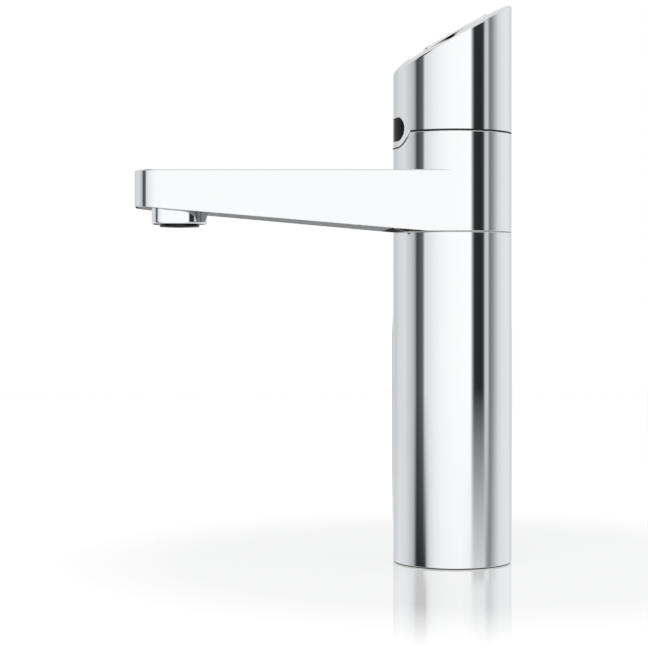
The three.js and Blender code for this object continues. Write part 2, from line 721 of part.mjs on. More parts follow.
function swivelORing() {
  const room = (housingBore - spigotRadius) / 2;
  const radius = room - RUNNING_FIT;
  const middle = upperBushBottom - O_RING_ROOM / 2 + SEAT_GAP;
  const torus = new THREE.TorusGeometry(spigotRadius + room, radius, 5, INNER_FACETS);
  return torus.translate(0, 0, middle);
}

/** Spigot that carries the collar: a flanged tube with a groove and the stop's notch. */
function swivelSpigot() {
  const grooveTop = lowerBushBottom - LOOSE_FIT + SEAT_GAP;
  const grooveBottom = grooveTop - RETAINER_THICKNESS - 2 * SEAT_GAP;
  const groove = spigotRadius - RETAINER_GROOVE_DEPTH;
  const flangeBottom = collarFloorTop + SEAT_GAP;
  const profile = [
    [spigotBore, spigotBottom],
    [spigotRadius, spigotBottom],
    [spigotRadius, grooveBottom],
    [groove, grooveBottom],
    [groove, grooveTop],
    [spigotRadius, grooveTop],
    [spigotRadius, flangeBottom],
    [spigotFlangeRadius, flangeBottom],
    [spigotFlangeRadius, flangeTop],
    [spigotBore, flangeTop],
    [spigotBore, spigotBottom],
  ];
  const pinAngle = Math.asin(STOP_PIN_RADIUS / (spigotBore + SPIGOT_WALL / 2));
  const notchAngle = degToRad(SWIVEL_LIMIT + STOP_SLACK) + pinAngle;
  const notch = sector(spigotRadius + SPIGOT_WALL, -notchAngle, notchAngle);
  let body = solid(turned(profile, INNER_FACETS));
  body = cut(body, upright(notch, spigotBottom - PAST, stopNotchTop, 8));
  for (const angle of SPIGOT_SCREW_ANGLES) {
    const hole = screwPilot(flangeBottom - PAST, flangeTop + PAST);
    body = cut(body, hole.translate(...onCircle(spigotScrewCircle, angle).toArray()));
  }
  return geometryOf(body);
}

/** Circle of the screws that hold the spigot's flange to the collar's floor. */
const spigotScrewCircle = spigotFlangeRadius - SCREW_HEAD_RADIUS - SEAT_GAP;

/** Spring ring in the spigot's groove, below the lower bush: it keeps the collar down. */
function retainingRing() {
  const top = lowerBushBottom - LOOSE_FIT;
  const inner = spigotRadius - RETAINER_GROOVE_DEPTH + PUSH_FIT;
  const outer = spigotRadius + RETAINER_RIM;
  const half = degToRad(RETAINER_GAP_ANGLE);
  const opening = sector(2 * outer, Math.PI - half, Math.PI + half);
  const bottom = top - RETAINER_THICKNESS;
  const body = solid(ring(inner, outer, bottom, top));
  return geometryOf(cut(body, upright(opening, bottom - PAST, top + PAST)));
}

// ---------------------------------------------------------------------------------------
// Collar and spout
// ---------------------------------------------------------------------------------------

/** The screws that hold the underside plate: place in plan. */
const plateScrews = [plateBossRear, plateBossFront].flatMap((distance) => {
  const y = spoutHalfWidth(distance, SPOUT_WALL) - PLATE_BOSS_EDGE;
  return [{ distance, y }, { distance, y: -y }];
});

/** A slab that follows the spout's underside between two heights above it. */
function undersideSlab(low, high, start) {
  const end = SPOUT_REACH + BODY_RADIUS;
  const corners = [
    [-end, undersideZ(end) + low],
    [-start, undersideZ(start) + low],
    [-start, undersideZ(start) + high],
    [-end, undersideZ(end) + high],
  ];
  return across(corners, 2 * BODY_RADIUS);
}

/** The part of a plan outline that lies beyond a distance in front of the axis. */
function spoutBlock(inset, start, bottom, top) {
  const far = SPOUT_REACH + BODY_RADIUS;
  const corners = [[-far, bottom], [-start, bottom], [-start, top], [-far, top]];
  const keep = across(corners, 2 * BODY_RADIUS);
  return solid(upright(spoutOutline(inset), bottom, top)).intersect(solid(keep));
}

function collarRound() {
  const profile = [
    [0, collarBottom],
    [BODY_RADIUS, collarBottom],
    [BODY_RADIUS, collarTop - EDGE_ROUND / 2],
    [BODY_RADIUS - EDGE_ROUND / 2, collarTop],
    [0, collarTop],
  ];
  return turned(profile, BODY_FACETS);
}

/** The spout's outside, with a rounded upper edge. */
function spoutOutside() {
  const settings = {
    depth: spoutTop - collarBottom - EDGE_ROUND,
    bevelEnabled: true,
    bevelThickness: EDGE_ROUND,
    bevelSize: EDGE_ROUND,
    bevelOffset: -EDGE_ROUND,
    bevelSegments: 2,
    curveSegments: 6,
  };
  const shell = new THREE.ExtrudeGeometry(spoutOutline(0), settings).translate(0, 0, collarBottom);
  const far = 2 * SPOUT_REACH;
  const corners = [[-far, 0], [far, 0], [far, collarBottom], [-far, collarBottom]];
  return cut(solid(shell), across(corners, 2 * BODY_RADIUS));
}

/** Block inside the collar that a screw of the joining ring goes into. */
function ringLug(angle) {
  const inner = ringFlangeBore;
  const outer = collarBore + COLLAR_WALL / 2;
  const top = ringBottom - SEAT_GAP;
  const box = new THREE.BoxGeometry(outer - inner, LUG_WIDTH, LUG_HEIGHT);
  box.translate((inner + outer) / 2, 0, top - LUG_HEIGHT / 2);
  return box.rotateZ(degToRad(angle));
}

/** Circle of the screws that hold the joining ring to its lugs. */
const lugScrewCircle = (ringFlangeBore + ringRadius - RING_WALL) / 2;

function spoutBody() {
  const plateTop = PLATE_RECESS + PLATE_THICKNESS + SEAT_GAP;
  const channelFloor = collarFloorTop + CHANNEL_FLOOR_LIFT;
  const bore = disc(collarBore, collarFloorTop, collarTop + PAST, BODY_FACETS);
  const floorHole = disc(spigotRadius + PUSH_FIT, collarBottom - PAST, collarFloorTop + PAST);
  const channel = spoutBlock(SPOUT_WALL, channelStart, channelFloor, spoutCeiling);
  const well = spoutBlock(SPOUT_WALL, plateStart + PLATE_LEDGE, collarBottom - PAST, spoutCeiling);
  const rebate = spoutBlock(PLATE_LEDGE, plateStart, collarBottom - BODY_RADIUS, spoutCeiling)
    .intersect(solid(undersideSlab(-BODY_RADIUS / 2, plateTop, plateStart)));
  let body = spoutOutside().add(solid(collarRound()));
  body = cut(body, undersideSlab(-BODY_RADIUS, 0, UNDERSIDE_START));
  body = cut(body, bore, floorHole);
  body = body.subtract(channel).subtract(well).subtract(rebate);
  for (const { distance, y } of plateScrews) {
    const bottom = undersideZ(distance + PLATE_BOSS_RADIUS) + plateTop;
    const boss = disc(PLATE_BOSS_RADIUS, bottom, spoutCeiling + SPOUT_WALL / 2, SMALL_FACETS);
    const pilot = screwPilot(bottom - PAST, spoutCeiling - BLIND_FLOOR);
    body = join(body, boss.translate(-distance, y, 0));
    body = cut(body, pilot.translate(-distance, y, 0));
  }
  for (const angle of LUG_ANGLES) {
    const place = onCircle(lugScrewCircle, angle).toArray();
    const pilot = screwPilot(ringBottom - LUG_HEIGHT - PAST, ringBottom);
    body = cut(join(body, ringLug(angle)), pilot.translate(...place));
  }
  for (const angle of SPIGOT_SCREW_ANGLES) {
    const place = onCircle(spigotScrewCircle, angle).toArray();
    const pilot = screwPilot(collarBottom + BLIND_FLOOR, collarFloorTop + PAST);
    body = cut(body, pilot.translate(...place));
  }
  const lobeRoom = windowOutline(WINDOW_RIM + HEAD_GAP);
  return geometryOf(cut(body, alongX(lobeRoom, -2 * BODY_RADIUS, -BODY_RADIUS / 2)));
}

function undersidePlate() {
  const low = undersideSlab(PLATE_RECESS, PLATE_RECESS + PLATE_THICKNESS, plateStart + PUSH_FIT);
  const edge = PLATE_LEDGE + PUSH_FIT;
  const outline = spoutBlock(edge, plateStart + PUSH_FIT, collarBottom - PAST, spoutCeiling);
  const opening = roundedRectangle(
    NOZZLE_LENGTH + 2 * LOOSE_FIT,
    NOZZLE_WIDTH + 2 * LOOSE_FIT,
    NOZZLE_CORNER + LOOSE_FIT,
    -nozzleX,
  );
  let plate = outline.intersect(solid(low));
  plate = cut(plate, upright(opening, collarBottom - PAST, spoutCeiling));
  for (const { distance, y } of plateScrews) {
    const face = undersideZ(distance) + PLATE_RECESS;
    const reach = SCREW_HEAD_RADIUS + SCREW_PILOT_GAP;
    const throat = SCREW_RADIUS + SCREW_PILOT_GAP;
    const profile = [
      [0, face - PAST],
      [reach, face - PAST],
      [reach, face + SEAT_GAP],
      [throat, face + SEAT_GAP + reach - throat],
      [throat, face + PLATE_THICKNESS + PAST],
      [0, face + PLATE_THICKNESS + PAST],
    ];
    plate = cut(plate, turned(profile, SCREW_FACETS).translate(-distance, y, 0));
  }
  return geometryOf(plate);
}

// ---------------------------------------------------------------------------------------
// Nozzle
// ---------------------------------------------------------------------------------------

/** The housing's flange rests on the underside plate, just clear of its higher end. */
const nozzleFront = nozzleX + NOZZLE_LENGTH / 2 + NOZZLE_FLANGE_RIM;
const nozzleFlangeBottom =
  undersideZ(nozzleFront) + PLATE_RECESS + PLATE_THICKNESS + 2 * SEAT_GAP;

function nozzleHousing() {
  const outline = roundedRectangle(NOZZLE_LENGTH, NOZZLE_WIDTH, NOZZLE_CORNER);
  const flangeOutline = roundedRectangle(
    NOZZLE_LENGTH + 2 * NOZZLE_FLANGE_RIM,
    NOZZLE_WIDTH + 2 * NOZZLE_FLANGE_RIM,
    NOZZLE_CORNER + NOZZLE_FLANGE_RIM,
  );
  const settings = {
    depth: nozzleTop - nozzleBottom - EDGE_ROUND,
    bevelEnabled: true,
    bevelThickness: EDGE_ROUND,
    bevelSize: EDGE_ROUND,
    bevelOffset: -EDGE_ROUND,
    bevelSegments: 1,
    curveSegments: 5,
  };
  const block = new THREE.ExtrudeGeometry(outline, settings);
  block.translate(0, 0, nozzleBottom + EDGE_ROUND);
  const trimTop = nozzleTop + BODY_RADIUS;
  const side = BODY_RADIUS;
  const corners = [[-side, nozzleTop], [side, nozzleTop], [side, trimTop], [-side, trimTop]];
  const flange = upright(flangeOutline, nozzleFlangeBottom, nozzleTop);
  let body = join(cut(solid(block), across(corners, side)), flange);
  body = cut(
    body,
    disc(AERATOR_RADIUS + PUSH_FIT, nozzleBottom - PAST, nozzleStep, NOZZLE_FACETS),
    disc(MANIFOLD_NECK_RADIUS + PUSH_FIT, nozzleStep - PAST, nozzleTop + PAST, NOZZLE_FACETS),
  );
  return geometryOf(body).translate(-nozzleX, 0, 0);
}

/** Where each line enters the back of the manifold. */
const ports = [
  { y: HOSE_Y, radius: HOSE_RADIUS },
  { y: -HOSE_Y, radius: HOSE_RADIUS },
  { y: 0, radius: VENT_RADIUS },
];
const manifoldBack = -(nozzleX - MANIFOLD_LENGTH / 2);
const portEnd = manifoldBack - MANIFOLD_PORT_DEPTH;

/** Block above the nozzle that brings the three lines together and feeds the neck. */
function waterManifold() {
  const outline = roundedRectangle(MANIFOLD_LENGTH, MANIFOLD_WIDTH, MANIFOLD_CORNER, -nozzleX);
  const neckBottom = nozzleStep + MANIFOLD_NECK_GAP;
  const neck = disc(MANIFOLD_NECK_RADIUS, neckBottom, manifoldBottom + PAST, NOZZLE_FACETS);
  const outlet = disc(MANIFOLD_BORE_RADIUS, neckBottom - PAST, hoseRunZ, SMALL_FACETS);
  neck.translate(-nozzleX, 0, 0);
  outlet.translate(-nozzleX, 0, 0);
  const crossBore = disc(MANIFOLD_PASSAGE_RADIUS, -HOSE_Y, HOSE_Y, SMALL_FACETS);
  crossBore.rotateX(Math.PI / 2).translate(-nozzleX, 0, hoseRunZ);
  let body = join(solid(upright(outline, manifoldBottom, manifoldTop)), neck);
  body = cut(body, outlet, crossBore);
  for (const { y, radius } of ports) {
    const socket = disc(radius + LOOSE_FIT / 2, portEnd, manifoldBack + PAST, SMALL_FACETS);
    const passage = disc(MANIFOLD_PASSAGE_RADIUS, -nozzleX, portEnd + PAST, SMALL_FACETS);
    for (const bore of [socket, passage]) {
      body = cut(body, bore.rotateY(Math.PI / 2).translate(0, y, hoseRunZ));
    }
  }
  return geometryOf(body);
}

function aeratorInsert() {
  const bore = AERATOR_RADIUS - AERATOR_WALL;
  const lip = bore - EDGE_ROUND;
  const lipTop = aeratorBottom + STRAIGHTENER_LIFT - SEAT_GAP;
  const profile = [
    [lip, aeratorBottom],
    [AERATOR_RADIUS - EDGE_ROUND / 2, aeratorBottom],
    [AERATOR_RADIUS, aeratorBottom + EDGE_ROUND / 2],
    [AERATOR_RADIUS, aeratorTop],
    [bore, aeratorTop],
    [bore, lipTop],
    [lip, lipTop],
    [lip, aeratorBottom],
  ];
  return turned(profile, NOZZLE_FACETS).translate(-nozzleX, 0, 0);
}

function aeratorWasher() {
  const bottom = aeratorTop + SEAT_GAP;
  const top = bottom + WASHER_THICKNESS;
  const washer = ring(WASHER_BORE_RADIUS, AERATOR_RADIUS, bottom, top, NOZZLE_FACETS);
  return washer.translate(-nozzleX, 0, 0);
}

/** Disc with rings of holes that smooths the stream. */
function flowStraightener() {
  const bottom = aeratorBottom + STRAIGHTENER_LIFT;
  const top = bottom + STRAIGHTENER_HEIGHT;
  let body = solid(disc(AERATOR_RADIUS - AERATOR_WALL - PUSH_FIT, bottom, top, NOZZLE_FACETS));
  for (let level = 0; level <= STRAIGHTENER_RINGS; level += 1) {
    const count = Math.max(1, STRAIGHTENER_HOLES * level);
    for (let i = 0; i < count; i += 1) {
      const hole = disc(STRAIGHTENER_HOLE_RADIUS, bottom - PAST, top + PAST, HOSE_SIDES);
      const place = onCircle(level * STRAIGHTENER_PITCH, (360 * i) / count).toArray();
      body = cut(body, hole.translate(...place));
    }
  }
  return geometryOf(body).translate(-nozzleX, 0, 0);
}

/** A hose from its fitting in the foot, up the column and forward to the manifold. */
function hose(x, y, radius) {
  const path = new THREE.CurvePath();
  const bendStart = new THREE.Vector3(x, y, hoseRunZ - HOSE_BEND_RADIUS);
  const bendEnd = new THREE.Vector3(x - HOSE_BEND_RADIUS, y, hoseRunZ);
  const pull = HOSE_BEND_RADIUS * QUARTER_PULL;
  path.add(new THREE.LineCurve3(new THREE.Vector3(x, y, hoseStart), bendStart));
  path.add(new THREE.CubicBezierCurve3(
    bendStart,
    bendStart.clone().add(new THREE.Vector3(0, 0, pull)),
    bendEnd.clone().add(new THREE.Vector3(pull, 0, 0)),
    bendEnd,
  ));
  const end = new THREE.Vector3(portEnd + LOOSE_FIT, y, hoseRunZ);
  path.add(new THREE.LineCurve3(bendEnd, end));
  return swept(path, radius, Math.round(path.getLength() / HOSE_STEP));
}

// ---------------------------------------------------------------------------------------
// Head
// ---------------------------------------------------------------------------------------

const slantFrame = new THREE.Matrix4()
  .makeTranslation(0, 0, slantAxisZ)
  .multiply(new THREE.Matrix4().makeRotationY(-degToRad(SLANT_ANGLE)));
const slantFrameBack = slantFrame.clone().invert();

/** A ring of points round the body, on a plane the given depth below the sloping face. */
function slantRing(radius, depth) {
  return Array.from({ length: BODY_FACETS }, (_, i) => {
    const point = onCircle(radius, (360 * i) / BODY_FACETS);
    return point.setZ(slantZ(point.x, depth));
  });
}

function headOutside() {
  const foot = slantRing(BODY_RADIUS, 0).map((point) => point.clone().setZ(headBottom));
  const steps = 4;
  const rim = Array.from({ length: steps }, (_, i) => {
    const angle = (i / (steps - 1)) * (Math.PI / 2);
    const inward = SLANT_RIM_ROUND * (1 - Math.cos(angle));
    return slantRing(BODY_RADIUS - inward, SLANT_RIM_ROUND * (1 - Math.sin(angle)));
  });
  return lofted([foot, ...rim]);
}

/** Everything below a plane the given depth under the sloping face. */
function belowSlant(depth) {
  const reach = 2 * BODY_RADIUS;
  const corners = [
    [-reach, 0],
    [reach, 0],
    [reach, slantZ(reach, depth)],
    [-reach, slantZ(-reach, depth)],
  ];
  return across(corners, reach);
}

/** The three keys, placed in the sloping face. */
const keys = {
  boiling: { x: 0, y: padY },
  chilled: { x: 0, y: -padY },
  lock: { x: -(padLength / 2 + LOCK_KEY_OFFSET), y: 0 },
};

function padOutline(growth, { x, y }) {
  const length = padLength + 2 * growth;
  const width = padWidth + 2 * growth;
  return roundedRectangle(length, width, PAD_CORNER + growth, x, y);
}

function headShell() {
  const through = -(HEAD_TOP_THICKNESS + PAST);
  const lobeBottom = windowZ - WINDOW_HEIGHT - BODY_RADIUS;
  const lobe = solid(disc(BODY_RADIUS, lobeBottom, headBottom + PAST, BODY_FACETS))
    .intersect(solid(alongX(windowOutline(WINDOW_RIM), -2 * BODY_RADIUS, -BODY_RADIUS / 2)));
  const inside = solid(disc(headBore, 0, slantAxisZ + BODY_RADIUS, BODY_FACETS))
    .intersect(solid(belowSlant(HEAD_TOP_THICKNESS)));
  let body = solid(headOutside()).add(lobe).subtract(inside);
  body = cut(body, alongX(windowOutline(0), -2 * BODY_RADIUS, -BODY_RADIUS / 2));
  for (const key of [keys.boiling, keys.chilled]) {
    const opening = upright(padOutline(LOOSE_FIT, key), through, PAD_PROUD);
    body = cut(body, opening.applyMatrix4(slantFrame));
  }
  const lockHole = disc(LOCK_KEY_RADIUS + LOOSE_FIT, through, PAD_PROUD, KEY_FACETS);
  body = cut(body, lockHole.translate(keys.lock.x, keys.lock.y, 0).applyMatrix4(slantFrame));
  for (const x of [-carrierPostX, carrierPostX]) {
    const bottom = -(CARRIER_DEPTH - SEAT_GAP);
    const top = POST_ROOT - HEAD_TOP_THICKNESS;
    const post = disc(CARRIER_POST_RADIUS, bottom, top, SMALL_FACETS);
    body = join(body, post.translate(x, 0, 0).applyMatrix4(slantFrame));
    body = cut(body, screwPilot(bottom - PAST, top).translate(x, 0, 0).applyMatrix4(slantFrame));
  }
  const grubBore = GRUB_SCREW_RADIUS + SCREW_PILOT_GAP;
  const grubHole = disc(grubBore, headBore - PAST, BODY_RADIUS + PAST, SCREW_FACETS);
  return geometryOf(cut(body, grubHole.rotateY(Math.PI / 2).translate(0, 0, grubScrewZ)));
}

/** Dark lens that fills the window, with two pegs behind it for the indicator board. */
function windowLens() {
  const bottom = windowZ - WINDOW_HEIGHT;
  const top = windowZ + WINDOW_HEIGHT;
  const skin = ring(lensRadius - WINDOW_THICKNESS, lensRadius, bottom, top, BODY_FACETS);
  let body = solid(skin)
    .intersect(solid(alongX(windowOutline(-PUSH_FIT), -2 * BODY_RADIUS, -BODY_RADIUS / 2)));
  const pegRoot = -Math.sqrt((lensRadius - WINDOW_THICKNESS / 2) ** 2 - WINDOW_PEG_Y ** 2);
  const pegEnd = indicatorBoardX + 2 * INDICATOR_BOARD_THICKNESS;
  for (const side of [-1, 1]) {
    const peg = disc(WINDOW_PEG_RADIUS, pegRoot, pegEnd, SCREW_FACETS).rotateY(Math.PI / 2);
    body = join(body, peg.translate(0, side * WINDOW_PEG_Y, windowZ));
  }
  return geometryOf(body);
}

function indicatorBoard() {
  const board = new THREE.BoxGeometry(
    INDICATOR_BOARD_THICKNESS,
    INDICATOR_BOARD_WIDTH,
    INDICATOR_BOARD_HEIGHT,
  ).translate(indicatorBoardX + INDICATOR_BOARD_THICKNESS / 2, 0, windowZ);
  let body = solid(board);
  const holeEnd = indicatorBoardX + INDICATOR_BOARD_THICKNESS + PAST;
  for (const side of [-1, 1]) {
    const hole = disc(WINDOW_PEG_RADIUS + PUSH_FIT, indicatorBoardX - PAST, holeEnd, SCREW_FACETS);
    body = cut(body, hole.rotateY(Math.PI / 2).translate(0, side * WINDOW_PEG_Y, windowZ));
  }
  return geometryOf(body);
}

function indicatorLight(side) {
  const end = indicatorBoardX - SEAT_GAP;
  const domeTop = end - INDICATOR_LIGHT_LENGTH;
  const halfway = INDICATOR_LIGHT_RADIUS * Math.SQRT1_2;
  const profile = [
    [0, domeTop],
    [halfway, domeTop + INDICATOR_LIGHT_RADIUS - halfway],
    [INDICATOR_LIGHT_RADIUS, domeTop + INDICATOR_LIGHT_RADIUS],
    [INDICATOR_LIGHT_RADIUS, end],
    [0, end],
  ];
  const light = turned(profile, SCREW_FACETS);
  return light.rotateY(Math.PI / 2).translate(0, side * INDICATOR_LIGHT_Y, windowZ);
}

/** Thin lead from the key board down to the back of the indicator board. */
function indicatorLead() {
  const boardZ = slantZ(LEAD_X - LEAD_RADIUS, BOARD_DEPTH + BOARD_THICKNESS);
  const start = new THREE.Vector3(LEAD_X, 0, boardZ - LOOSE_FIT);
  const endX = indicatorBoardX + INDICATOR_BOARD_THICKNESS + LOOSE_FIT;
  const end = new THREE.Vector3(endX, 0, windowZ);
  const path = new THREE.CubicBezierCurve3(
    start,
    new THREE.Vector3(start.x, 0, (start.z + end.z) / 2),
    new THREE.Vector3(start.x, 0, end.z),
    end,
  );
  return swept(path, LEAD_RADIUS, 12);
}

/** Ring screwed to the collar's lugs; the head slides over it and one grub screw holds it. */
function joiningRing() {
  const profile = [
    [ringFlangeBore, ringBottom],
    [ringRadius, ringBottom],
    [ringRadius, ringTop],
    [ringRadius - RING_WALL, ringTop],
    [ringRadius - RING_WALL, ringBottom + RING_FLANGE_THICKNESS],
    [ringFlangeBore, ringBottom + RING_FLANGE_THICKNESS],
    [ringFlangeBore, ringBottom],
  ];
  const flangeTopZ = ringBottom + RING_FLANGE_THICKNESS;
  const notchTop = ringTop + PAST;
  const front = -2 * BODY_RADIUS;
  const corners = [
    [front, flangeTopZ],
    [ringNotchX, flangeTopZ],
    [ringNotchX, notchTop],
    [front, notchTop],
  ];
  const notch = across(corners, RING_NOTCH_HALF_WIDTH);
  let body = cut(solid(turned(profile, INNER_FACETS)), notch);
  for (const angle of LUG_ANGLES) {
    const holeRadius = SCREW_RADIUS + SCREW_HOLE_GAP;
    const hole = disc(holeRadius, ringBottom - PAST, flangeTopZ + PAST, SCREW_FACETS);
    body = cut(body, hole.translate(...onCircle(lugScrewCircle, angle).toArray()));
  }
  const tapInner = ringRadius - 2 * RING_WALL;
  const tapped = disc(GRUB_SCREW_RADIUS + PUSH_FIT, tapInner, ringRadius + PAST, SCREW_FACETS);
  return geometryOf(cut(body, tapped.rotateY(Math.PI / 2).translate(0, 0, grubScrewZ)));
}

function grubScrew() {
  const end = BODY_RADIUS - GRUB_SCREW_SINK;
  const shank = disc(GRUB_SCREW_RADIUS, end - GRUB_SCREW_LENGTH, end, SCREW_FACETS);
  const socket = disc(HEX_SOCKET_RADIUS, end - HEX_SOCKET_DEPTH, end + PAST, 6);
  const screw = geometryOf(cut(solid(shank), socket));
  return screw.rotateY(Math.PI / 2).translate(0, 0, grubScrewZ);
}

// ---------------------------------------------------------------------------------------
// Keys, in the frame of the sloping face: z = 0 is the face, z is negative inside the head
// ---------------------------------------------------------------------------------------

function stem(radius, bottom, { x, y }, facets = SMALL_FACETS) {
  return disc(radius, bottom, keyFlangeBottom + KEY_FLANGE_THICKNESS / 2, facets).translate(x, y, 0);
}

/** Tool that presses a shallow dish for the finger along the top of a pad. */
function dish({ y }) {
  const half = padLength / 2 - PAD_CORNER / 2;
  const steps = 10;
  const hollow = Array.from({ length: steps + 1 }, (_, i) => {
    const along = -1 + (2 * i) / steps;
    return [along * half, PAD_PROUD - PAD_DISH * (1 - along * along)];
  });
  const lid = [[half, PAD_PROUD + PAST], [-half, PAD_PROUD + PAST]];
  return across([...hollow, ...lid], padWidth).translate(0, y, 0);
}

/** Long pad with its retaining flange, the stem that works the switch and two guide pins. */
function pad(key) {
  const cap = upright(padOutline(0, key), keyFlangeBottom, PAD_PROUD);
  const flange = upright(padOutline(PAD_FLANGE_RIM, key), keyFlangeBottom, keyFlangeTop);
  const pinBottom = -(CARRIER_DEPTH + CARRIER_THICKNESS - LOOSE_FIT);
  const pins = [-padGuideX, padGuideX].map((x) => {
    return stem(GUIDE_PIN_RADIUS, pinBottom, { x, y: key.y }, SCREW_FACETS);
  });
  const body = join(solid(cap), flange, stem(KEY_STEM_RADIUS, stemBottom, key), ...pins);
  return geometryOf(cut(body, dish(key)));
}

/** Small round key that has to be held before boiling water runs. */
function lockKey({ x, y }) {
  const flange = LOCK_KEY_RADIUS + PAD_FLANGE_RIM;
  const profile = [
    [0, stemBottom],
    [KEY_STEM_RADIUS, stemBottom],
    [KEY_STEM_RADIUS, keyFlangeBottom],
    [flange, keyFlangeBottom],
    [flange, keyFlangeTop],
    [LOCK_KEY_RADIUS, keyFlangeTop],
    [LOCK_KEY_RADIUS, LOCK_KEY_PROUD - EDGE_ROUND / 2],
    [LOCK_KEY_RADIUS - EDGE_ROUND / 2, LOCK_KEY_PROUD],
    [0, LOCK_KEY_PROUD],
  ];
  return turned(profile, KEY_FACETS).translate(x, y, 0);
}

/** Coil spring round a stem, between the carrier and the key's flange. */
class Helix extends THREE.Curve {
  constructor(radius, bottom, top, turns) {
    super();
    Object.assign(this, { radius, bottom, top, turns });
  }

  getPoint(t, target = new THREE.Vector3()) {
    const angle = 2 * Math.PI * this.turns * t;
    const height = this.bottom + (this.top - this.bottom) * t;
    return target.set(this.radius * Math.cos(angle), this.radius * Math.sin(angle), height);
  }
}

function keySpring({ x, y }) {
  const clearance = SPRING_WIRE / 2 + LOOSE_FIT;
  const bottom = clearance - CARRIER_DEPTH;
  const coil = new Helix(SPRING_RADIUS, bottom, keyFlangeBottom - clearance, SPRING_TURNS);
  return swept(coil, SPRING_WIRE / 2, SPRING_TURNS * 8, 4).translate(x, y, 0);
}

/** A slab that follows the sloping face and fits the head's bore. */
function slopingSlab(depth, thickness, clearance) {
  const reach = 3 * BODY_RADIUS;
  const slab = new THREE.BoxGeometry(reach, reach, thickness);
  slab.translate(0, 0, -(depth + thickness / 2));
  const bore = disc(headBore - clearance, 0, 2 * slantAxisZ).applyMatrix4(slantFrameBack);
  return solid(slab).intersect(solid(bore));
}

/** Frame that guides the stems, hangs from the head's posts and carries the key board. */
function keyCarrier() {
  const bottom = -(CARRIER_DEPTH + CARRIER_THICKNESS);
  let body = slopingSlab(CARRIER_DEPTH, CARRIER_THICKNESS, LOOSE_FIT);
  for (const x of [-carrierPostX, carrierPostX]) {
    const spacer = disc(SPACER_RADIUS, -(BOARD_DEPTH - SEAT_GAP), bottom + POST_ROOT, SMALL_FACETS);
    const hole = disc(SCREW_RADIUS + SCREW_HOLE_GAP, -(BOARD_DEPTH + PAST), 0, SCREW_FACETS);
    body = cut(join(body, spacer.translate(x, 0, 0)), hole.translate(x, 0, 0));
  }
  for (const { x, y } of Object.values(keys)) {
    const guide = disc(KEY_STEM_RADIUS + GUIDE_FIT, bottom - PAST, 0, SMALL_FACETS);
    body = cut(body, guide.translate(x, y, 0));
  }
  for (const { y } of [keys.boiling, keys.chilled]) {
    for (const x of [-padGuideX, padGuideX]) {
      const guide = disc(GUIDE_PIN_RADIUS + GUIDE_FIT, bottom - PAST, 0, SCREW_FACETS);
      body = cut(body, guide.translate(x, y, 0));
    }
  }
  return geometryOf(body);
}

function keyBoard() {
  let body = slopingSlab(BOARD_DEPTH, BOARD_THICKNESS, BOARD_CLEARANCE);
  for (const x of [-carrierPostX, carrierPostX]) {
    const hole = disc(SCREW_RADIUS + SCREW_HOLE_GAP, -2 * BOARD_DEPTH, 0, SCREW_FACETS);
    body = cut(body, hole.translate(x, 0, 0));
  }
  return geometryOf(body);
}

function keySwitch({ x, y }) {
  const bottom = -BOARD_DEPTH + SEAT_GAP;
  const top = -BOARD_DEPTH + SWITCH_HEIGHT;
  const middle = (top + bottom) / 2;
  const box = new THREE.BoxGeometry(SWITCH_SIZE, SWITCH_SIZE, top - bottom);
  box.translate(0, 0, middle);
  const plunger = disc(SWITCH_PLUNGER_RADIUS, middle, switchPlungerTop, SMALL_FACETS);
  return geometryOf(join(solid(box), plunger)).translate(x, y, 0);
}

/** Depth of the face of the key board that its connector hangs from. */
const connectorDepth = BOARD_DEPTH + BOARD_THICKNESS + SEAT_GAP;

/** Socket under the key board that the control cable plugs into, above the cable's run. */
function boardConnector() {
  const middle = connectorDepth + CONNECTOR_HEIGHT / 2;
  const x = (CABLE_X - middle * Math.sin(degToRad(SLANT_ANGLE))) / slantCos;
  const box = new THREE.BoxGeometry(CONNECTOR_LENGTH, CONNECTOR_WIDTH, CONNECTOR_HEIGHT);
  return box.translate(x, CABLE_Y, -middle);
}

/** Control cable: from the gland in the foot straight up to the key board's socket. */
function controlCable() {
  const top = slantZ(CABLE_X - CABLE_RADIUS, connectorDepth + CONNECTOR_HEIGHT) - LOOSE_FIT;
  return disc(CABLE_RADIUS, INLET_LIFT, top, HOSE_SIDES).translate(CABLE_X, CABLE_Y, 0);
}

/** Long screw that goes through board and carrier into a post of the head. */
function carrierScrew(x) {
  const seat = -(BOARD_DEPTH + BOARD_THICKNESS + SEAT_GAP);
  const length = -seat - HEAD_TOP_THICKNESS - BLIND_FLOOR;
  return panScrew(length).rotateX(Math.PI).translate(x, 0, seat);
}

// ---------------------------------------------------------------------------------------
// Assembly
// ---------------------------------------------------------------------------------------

const tap = new THREE.Group();
const slopingFace = new THREE.Group();
slopingFace.position.z = slantAxisZ;
slopingFace.rotation.y = -degToRad(SLANT_ANGLE);
tap.add(slopingFace);

function add(name, geometry, material, parent = tap) {
  const mesh = new THREE.Mesh(geometry, material);
  mesh.name = name;
  parent.add(mesh);
  return mesh;
}

add('foot_seal', footSeal(), blackRubber);
add('foot_insert', footInsert(), brass);
for (const [line, inlet] of Object.entries(inlets)) {
  add(`${line}_inlet`, inletFitting(inlet), acetal);
}
add('cable_gland', cableGland(), blackPlastic);
add('column_shell', columnShell(), chrome);

